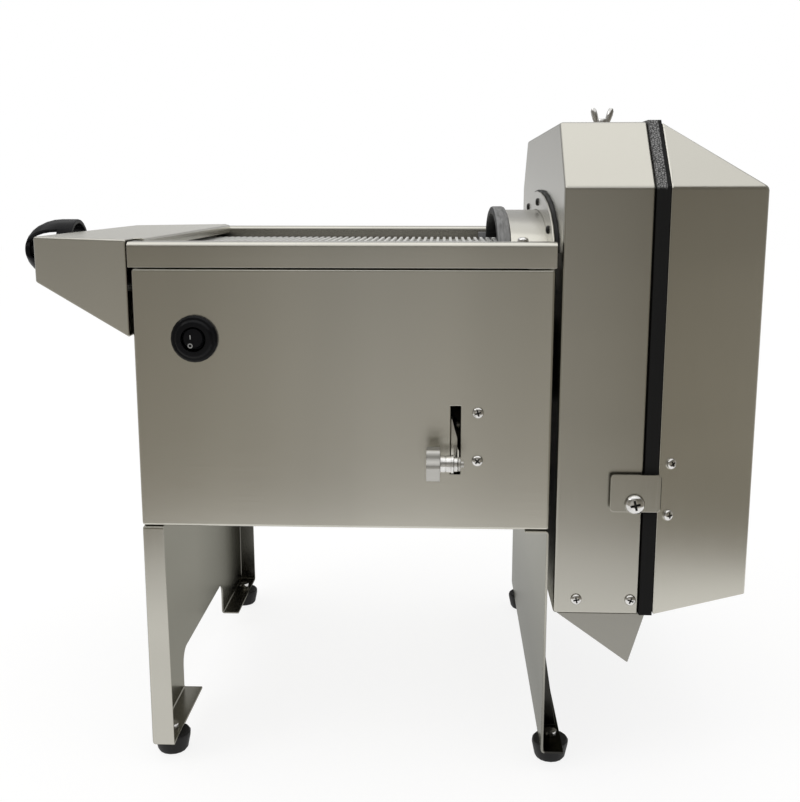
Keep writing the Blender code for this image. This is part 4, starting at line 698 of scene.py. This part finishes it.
class CHIPCUTTER_OT_controls(bpy.types.Operator):
    """Finish the switch, star knob, handwheel and gland, and add the switch's marks and the lever's details"""
    bl_idname = "chip_cutter.controls"
    bl_label = "Finish the controls"

    def execute(self, context):
        settings = settings_of(context)
        plastic = gloss_plastic("gloss_plastic", tuple(settings.soft.plastic))
        dress(["switch_body", "switch_rocker", "handwheel", "cord_gland"], plastic)
        dress(["lever_knob"], satin_knob(context))
        soften(["lever_knob"], 0.6 * MM)
        self.marks(gloss_plastic("mark_paint", tuple(settings.fittings.mark), 0.4))
        self.sleeve(turned_steel(context))
        self.slot_shield()
        self.wheel(plastic)
        return {"FINISHED"}

    @staticmethod
    def wheel(plastic):
        """Domed handwheel, turned until one of its three windows shows above the nose."""
        mesh = bpy.data.objects["handwheel"].data.copy()
        mesh.materials.clear()
        axis = Matrix.Translation(middle_of("handwheel"))
        mesh.transform(axis @ Matrix.Rotation(WHEEL_TURN, 4, "X") @ axis.inverted())
        wheel = place("windowed_wheel", mesh, "handwheel", (plastic,))
        soften([wheel.name], 0.8 * MM)
        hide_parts("handwheel")

    @staticmethod
    def slot_shield():
        """Curved blade on the lever that closes the lower left of the slot."""
        pivot, reach, thick, left = at(262, 78, 72), 77 * MM, 0.6 * MM, -3.45 * MM
        # Heights above the pivot and the blade's right edge there, in millimetres.
        rows = [(-30, 2.9), (-18, 2.9), (-5.5, 2.9), (-1.5, 1.4), (5.5, 1.4), (13, -0.8), (20.9, -2.9)]
        bm = bmesh.new()
        rings = []
        for up, right in rows:
            turn = math.asin(up * MM / reach)
            section = ((left, reach), (right * MM, reach), (right * MM, reach - thick), (left, reach - thick))
            rings.append([bm.verts.new(pivot + Vector((x, -r * math.cos(turn), r * math.sin(turn))))
                          for x, r in section])
        skin(bm, rings, capped=True)
        place("slot_shield", mesh_from(bm, "slot_shield"), "lever",
              (bpy.data.materials["brushed_sheet_x"],))

    @staticmethod
    def marks(paint):
        """Upright stroke over a ring, on the rocker's face."""
        bm = bmesh.new()
        bmesh.ops.create_cube(bm, size=1.0)
        bmesh.ops.scale(bm, vec=(0.8 * MM, 3.6 * MM, 0.24 * MM), verts=bm.verts)
        bmesh.ops.bevel(bm, geom=bm.edges[:], offset=0.1 * MM, segments=1, affect="EDGES")
        stroke = mesh_from(bm, "switch_on_mark")
        bm = bmesh.new()
        outer, inner, thick = 2.0 * MM, 1.25 * MM, 0.12 * MM
        section = ((outer, 0), (outer, thick), (inner, thick), (inner, 0))
        skin(bm, [circle(bm, r, h, 24) for r, h in section], closed=True)
        ring = mesh_from(bm, "switch_off_mark")
        middle = middle_of("switch_rocker")
        middle.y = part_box("switch_rocker")[0][1]
        face = (0, -math.cos(ROCKER_LEAN), -math.sin(ROCKER_LEAN))
        for mesh, up in ((stroke, 2.0 * MM), (ring, -4.8 * MM)):
            spot = middle + Vector((-2.0 * MM, 0.25 * MM + up * math.tan(ROCKER_LEAN), up))
            stand_up(mesh.name, mesh, spot, face, "rocker", (paint,))

    @staticmethod
    def sleeve(steel):
        """Chrome sleeve between the star knob and the lever, with one groove and a collar."""
        centre = middle_of("lever_knob")
        centre.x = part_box("lever_knob")[0][0] + 11.2 * MM
        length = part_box("feed_lever")[0][0] - GAP - centre.x
        sleeve, groove, collar = 6.8 * MM, 6.4 * MM, 7.4 * MM
        outline = [(0, 0), (sleeve, 0), (sleeve, 0.35), (groove, 0.38), (groove, 0.42), (sleeve, 0.45),
                   (sleeve, 0.8), (collar, 0.83), (collar, 1), (0, 1)]
        mesh = turned_mesh("knob_sleeve", [(radius, share * length) for radius, share in outline], 36)
        stand_up("knob_sleeve", mesh, centre, RIGHT, "knob", (steel,))


class CHIPCUTTER_OT_screws(bpy.types.Operator):
    """Drive the panel, housing, cover, inlet, rail and hinge screws"""
    bl_idname = "chip_cutter.screws"
    bl_label = "Drive the screws"

    def execute(self, context):
        fit = settings_of(context).fittings
        # The black finish is also painted shade in the cross recesses of the bright screws.
        steel, dark_and_recess_shade = turned_steel(context), dark_fitting_and_recess_shade()
        self.front_screws(fit, (steel, dark_and_recess_shade))
        self.inlet_screws(fit, dark_and_recess_shade)
        self.latch_screw((steel, dark_and_recess_shade))
        self.hinge_screws(fit, (steel, dark_and_recess_shade))
        self.rail_screws(fit, (steel, dark_and_recess_shade))
        self.wing_nut(steel)
        return {"FINISHED"}

    @staticmethod
    def front_screws(fit, finishes):
        """Pan heads on the front panel, the housing and the cover's slope."""
        head = pan_head("pan_head", fit.pan_radius, fit.pan_height, finishes)
        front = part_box("front_panel")[0][1]
        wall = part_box("cutter_housing")[0][1]
        slope, start = cover_slope()
        for name, (x, z), y, normal, body, spin in (
                ("panel_screw_upper", (280, 99), front, FRONT, "machine", 0.3),
                ("panel_screw_lower", (280, 59), front, FRONT, "machine", 0.9),
                ("housing_screw_left", (363.9, -59.2), wall, FRONT, "machine", 0.2),
                ("housing_screw_right", (408.7, -59.2), wall, FRONT, "machine", 1.2),
                ("cover_screw_upper", (438.4, 56.6), None, slope, "cover", 0.5),
                ("cover_screw_lower", (437.6, 13.0), None, slope, "cover", 0.1)):
            spot = at(x, 0, z)
            spot.y = wall + (spot.x - start) * -slope.x / slope.y if y is None else y
            stand_up(name, head.copy(), spot, normal, body, spin=spin)

    @staticmethod
    def inlet_screws(fit, dark_and_recess_shade):
        """Dark pan heads round the inlet's flange."""
        head = pan_head("flange_head", fit.flush_radius + 0.5 * MM, 2.4 * MM, (dark_and_recess_shade, dark_and_recess_shade))
        for n, (y, z) in enumerate(((72.1, 243.5), (184, 265.6), (296.3, 259.5), (342.9, 243.5))):
            spot = at(0, y, z)
            spot.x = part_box("inlet_flange")[0][0]
            stand_up(f"inlet_screw_{n + 1}", head.copy(), spot, LEFT, "machine", spin=0.4 * n)

    @staticmethod
    def latch_screw(finishes):
        """Large domed screw in the latch plate with a real cross recess."""
        low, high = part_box("latch_screw")
        r = (high[0] - low[0]) / 2
        reach = high[1] - low[1]
        seat, shank = reach - 4.7 * MM, 3.6 * MM
        profile = [(0, reach), (0.3 * r, reach), (0.6 * r, reach - 0.35 * MM), (0.82 * r, reach - 1.3 * MM),
                   (0.95 * r, reach - 2.6 * MM), (r, reach - 4 * MM), (r, seat), (shank, seat), (shank, 0),
                   (0, 0)]
        mesh = recessed_head("latch_screw_head", profile, 0.56 * r, 0.13 * r, reach + 0.4 * MM,
                             reach - 2.4 * MM, finishes)
        centre = middle_of("latch_screw")
        centre.y = high[1]
        screw = stand_up("latch_screw_head", mesh, centre, FRONT, "latch_screw", spin=0.25)
        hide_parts("latch_screw")

    @staticmethod
    def hinge_screws(fit, finishes):
        """Countersunk screws in the fixed hinge leaf."""
        low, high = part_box("hinge_fixed_leaf")
        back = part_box("cutter_housing")[1][1] + 2.3 * MM   # the leaf's outer face
        head = flush_head("hinge_head", fit.flush_radius, finishes)
        count = 4
        for n in range(count):
            z = low[2] + (n + 0.5) * (high[2] - low[2]) / count
            stand_up(f"hinge_screw_{n + 1}", head.copy(), (low[0] + 12 * MM, back, z), BACK, "machine",
                     spin=0.7 * n)

    @staticmethod
    def rail_screws(fit, finishes):
        """Pan heads on the two rails."""
        low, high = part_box("feed_trough")
        head = pan_head("rail_head", fit.pan_radius - 0.2 * MM, 3.4 * MM, finishes)
        inset = 18 * MM
        for name, y in (("rail_screw_near", low[1] + inset), ("rail_screw_far", high[1] - inset)):
            spot = (at(314.7, 0, 0).x, y, high[2])
            stand_up(name, head.copy(), spot, UP, "machine", spin=0.6)

    def wing_nut(self, steel):
        """Cast wing nut: a low threaded cone with two leaning, rounded wings."""
        low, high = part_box("wing_nut")
        bore = 3.3
        cone = [(bore, 0), (6.6, 0), (6.6, 1), (5.8, 10), (5.2, 12.4), (bore, 13.1)]
        bm = bmesh.new()
        skin(bm, [circle(bm, r * MM, h * MM, 32) for r, h in cone], closed=True)
        for side in (-1, 1):
            self.wing(bm, side, high[2] - low[2])
        centre = middle_of("wing_nut")
        centre.z = low[2]
        nut = stand_up("wing_nut_cast", mesh_from(bm, "wing_nut_cast"), centre, UP, "wing_nut",
                       (steel,))
        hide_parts("wing_nut")

    @staticmethod
    def wing(bm, side, tall):
        """One wing as a row of rounded sections from the cone out to its tip."""
        # Each row in millimetres: distance from the axis, height, half width and half thickness.
        rows = [(4.9, 3.0, 1.5, 2.4), (5.3, 9.0, 1.9, 2.8), (6.2, 13.0, 2.7, 2.8), (7.4, 17.0, 2.9, 2.5),
                (8.4, 20.5, 2.6, 2.0), (8.9, 22.6, 1.5, 1.2)]
        top = rows[-1][1] + rows[-1][2] * 0.5
        lean, segments = 0.35, 12
        sections = []
        for x, z, wide, thick in rows:
            ring = []
            for i in range(segments):
                t = 2 * math.pi * i / segments
                a, b = wide * math.cos(t), thick * math.sin(t)
                ring.append(bm.verts.new((side * (x + a) * MM, b * MM, (z - a * lean) * tall / top)))
            sections.append(ring)
        skin(bm, sections, capped=True)


class CHIPCUTTER_OT_stage(bpy.types.Operator):
    """Set the floor, the lamps, the room and the camera"""
    bl_idname = "chip_cutter.stage"
    bl_label = "Set the stage"

    def execute(self, context):
        stage = settings_of(context).stage
        context.scene.view_settings.view_transform = "Standard"
        self.room(context, stage)
        self.floor(context)
        self.card(context, stage)
        self.lamps(context)
        self.camera(context, stage)
        return {"FINISHED"}

    @staticmethod
    def seen(tree):
        """One for rays that show the background, nought for the rest."""
        path = tree.nodes.new("ShaderNodeLightPath")
        total = path.outputs["Is Camera Ray"]
        for name in ("Is Glossy Ray", "Is Transmission Ray"):
            larger = tree.nodes.new("ShaderNodeMath")
            larger.operation = "MAXIMUM"
            tree.links.new(total, larger.inputs[0])
            tree.links.new(path.outputs[name], larger.inputs[1])
            total = larger.outputs["Value"]
        return total

    def room(self, context, stage):
        """White background that lights dull surfaces with less than it shows."""
        world = bpy.data.worlds.new("studio_room")
        context.scene.world = world
        world.use_nodes = True
        tree = world.node_tree
        tree.nodes.clear()
        mix, out = tree.nodes.new("ShaderNodeMixShader"), tree.nodes.new("ShaderNodeOutputWorld")
        tree.links.new(self.seen(tree), mix.inputs[0])
        for socket, strength, colour in ((1, stage.world, (1.0, 0.995, 0.98, 1)), (2, 1.0, (1, 1, 1, 1))):
            light = tree.nodes.new("ShaderNodeBackground")
            light.inputs["Strength"].default_value = strength
            light.inputs["Color"].default_value = colour
            tree.links.new(light.outputs[0], mix.inputs[socket])
        tree.links.new(mix.outputs[0], out.inputs["Surface"])

    def floor(self, context):
        """Pale floor just under the feet, mixed with a glow so that it melts into the background."""
        glow_strength, glow_share = 1.16, 0.72
        bm = bmesh.new()
        bmesh.ops.create_grid(bm, x_segments=1, y_segments=1, size=8.0)
        obj = bpy.data.objects.new("floor", mesh_from(bm, "floor", outward=False))
        obj.location = (0.2, 0.2, frame_bounds[0][2] - 0.4 * MM)
        context.scene.collection.objects.link(obj)
        finish = Finish("pale_floor", (0.9, 0.9, 0.9), 0.8)
        glow = finish.add("ShaderNodeEmission")
        glow.inputs["Strength"].default_value = glow_strength
        mix = finish.add("ShaderNodeMixShader")
        share = finish.add("ShaderNodeMath", operation="MULTIPLY")
        finish.tree.links.new(self.seen(finish.tree), share.inputs[0])
        share.inputs[1].default_value = glow_share
        finish.wire(share, "Value", mix, 0)
        finish.wire(finish.shader, "BSDF", mix, 1)
        finish.wire(glow, "Emission", mix, 2)
        finish.wire(mix, "Shader", finish.out, "Surface")
        obj.data.materials.append(finish.mat)

    def card(self, context, stage):
        """Ring of grey cards round the machine, seen only in the sheets' reflections."""
        centre, radius, top = Vector((0.19, 0.17, 0.0)), 1.5, 1.35
        bm = bmesh.new()
        skin(bm, [circle(bm, r, z, 48) for r, z in ((0.56 * radius, 2 * MM), (radius, 4 * MM), (radius, top))])
        obj = bpy.data.objects.new("grey_cards", mesh_from(bm, "grey_cards", outward=False))
        obj.location = centre
        context.scene.collection.objects.link(obj)
        finish = Finish("grey_cards", (0.3, 0.3, 0.3), 0.9)
        spin = finish.add("ShaderNodeTexGradient", gradient_type="RADIAL")
        shift = finish.stretched()
        shift.inputs["Location"].default_value = -centre
        finish.wire(shift, "Vector", spin, "Vector")
        ramp = finish.add("ShaderNodeValToRGB")
        finish.wire(spin, "Fac", ramp, "Fac")
        # The cards' brightness at angles in degrees from the right, anticlockwise from above.
        stops = [(-180, 0.44), (-150, 0.40), (-122, 0.26), (-108, 0.34), (-100, 0.50), (-92, 0.42), (-82, 0.36),
                 (-76, 0.22), (-60, 0.22), (-25, 0.26), (-5, 0.42), (30, 0.5), (70, 0.8), (110, 0.9), (160, 0.6)]
        bar = ramp.color_ramp
        while len(bar.elements) < len(stops):
            bar.elements.new(0.5)
        for element, (angle, level) in zip(bar.elements, stops):
            element.position = angle / 360 + 0.5
            warm = 1.0 - 0.38 * max(0.0, 1.0 - level / 0.6)   # the darker, the warmer
            element.color = (level, level * (2 + warm) / 3, level * warm, 1)
        fall = finish.band(finish.axes(), "Z", 1.1 * stage.card, 0.55 * stage.card, 0.1, 0.75)
        glow = finish.add("ShaderNodeEmission")
        finish.wire(fall, "Result", glow, "Strength")
        finish.wire(ramp, "Color", glow, "Color")
        finish.wire(glow, "Emission", finish.out, "Surface")
        obj.data.materials.append(finish.mat)
        for ray in ("camera", "diffuse", "shadow", "transmission", "volume_scatter"):
            setattr(obj, f"visible_{ray}", False)

    @staticmethod
    def lamps(context):
        """Round softboxes above and to the left."""
        aim = Vector((0.19, 0.17, 0.32))
        for name, spot, size, energy in (("top_softbox", (0.24, 0.07, 2.3), 2.2, 4.8),
                                         ("left_softbox", (-1.7, -1.1, 1.9), 1.3, 7.0)):
            lamp = bpy.data.lights.new(name, "AREA")
            lamp.shape = "DISK"
            lamp.size = size
            lamp.energy = energy
            obj = bpy.data.objects.new(name, lamp)
            obj.location = spot
            obj.rotation_euler = (aim - Vector(spot)).to_track_quat("-Z", "Y").to_euler()
            context.scene.collection.objects.link(obj)

    @staticmethod
    def camera(context, stage):
        """Camera fitted to the photograph."""
        data = bpy.data.cameras.new("camera")
        data.sensor_fit = "HORIZONTAL"
        data.sensor_width = 36.0
        data.lens = stage.lens
        data.clip_start = 0.01
        camera = bpy.data.objects.new("camera", data)
        camera.location = stage.camera
        camera.rotation_euler = (math.pi / 2 - stage.pitch, 0, stage.yaw)
        context.scene.collection.objects.link(camera)
        context.scene.camera = camera


STEPS = (CHIPCUTTER_OT_sheets, CHIPCUTTER_OT_machined, CHIPCUTTER_OT_rubber, CHIPCUTTER_OT_belt,
         CHIPCUTTER_OT_controls, CHIPCUTTER_OT_screws, CHIPCUTTER_OT_stage)


class CHIPCUTTER_PT_panel(bpy.types.Panel):
    """Steps that dress the machine"""
    bl_idname = "CHIPCUTTER_PT_panel"
    bl_label = "Chip cutter"
    bl_space_type = "VIEW_3D"
    bl_region_type = "UI"
    bl_category = "Chip cutter"

    def draw(self, context):
        settings = settings_of(context)
        for group in (settings.sheet, settings.fittings, settings.soft, settings.stage):
            box = self.layout.box()
            for key in group.__annotations__:
                box.prop(group, key)
        for step in STEPS:
            self.layout.operator(step.bl_idname)


CLASSES = (SheetSettings, FittingSettings, SoftSettings, StageSettings, ChipCutterSettings, *STEPS,
           CHIPCUTTER_PT_panel)


def register():
    for cls in CLASSES:
        bpy.utils.register_class(cls)
    setattr(bpy.types.Scene, SETTINGS, PointerProperty(type=ChipCutterSettings))


def unregister():
    delattr(bpy.types.Scene, SETTINGS)
    for cls in reversed(CLASSES):
        bpy.utils.unregister_class(cls)


def main():
    register()
    for step in STEPS:
        group, name = step.bl_idname.split(".")
        getattr(getattr(bpy.ops, group), name)()
    smooth = smooth_faces()
    for name in [*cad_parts, "windowed_wheel"]:
        modifiers = bpy.data.objects[name].modifiers
        modifiers.new("Smooth faces", "NODES").node_group = smooth
        modifiers.new("Even normals", "WEIGHTED_NORMAL").keep_sharp = True


if __name__ == "__main__":
    main()
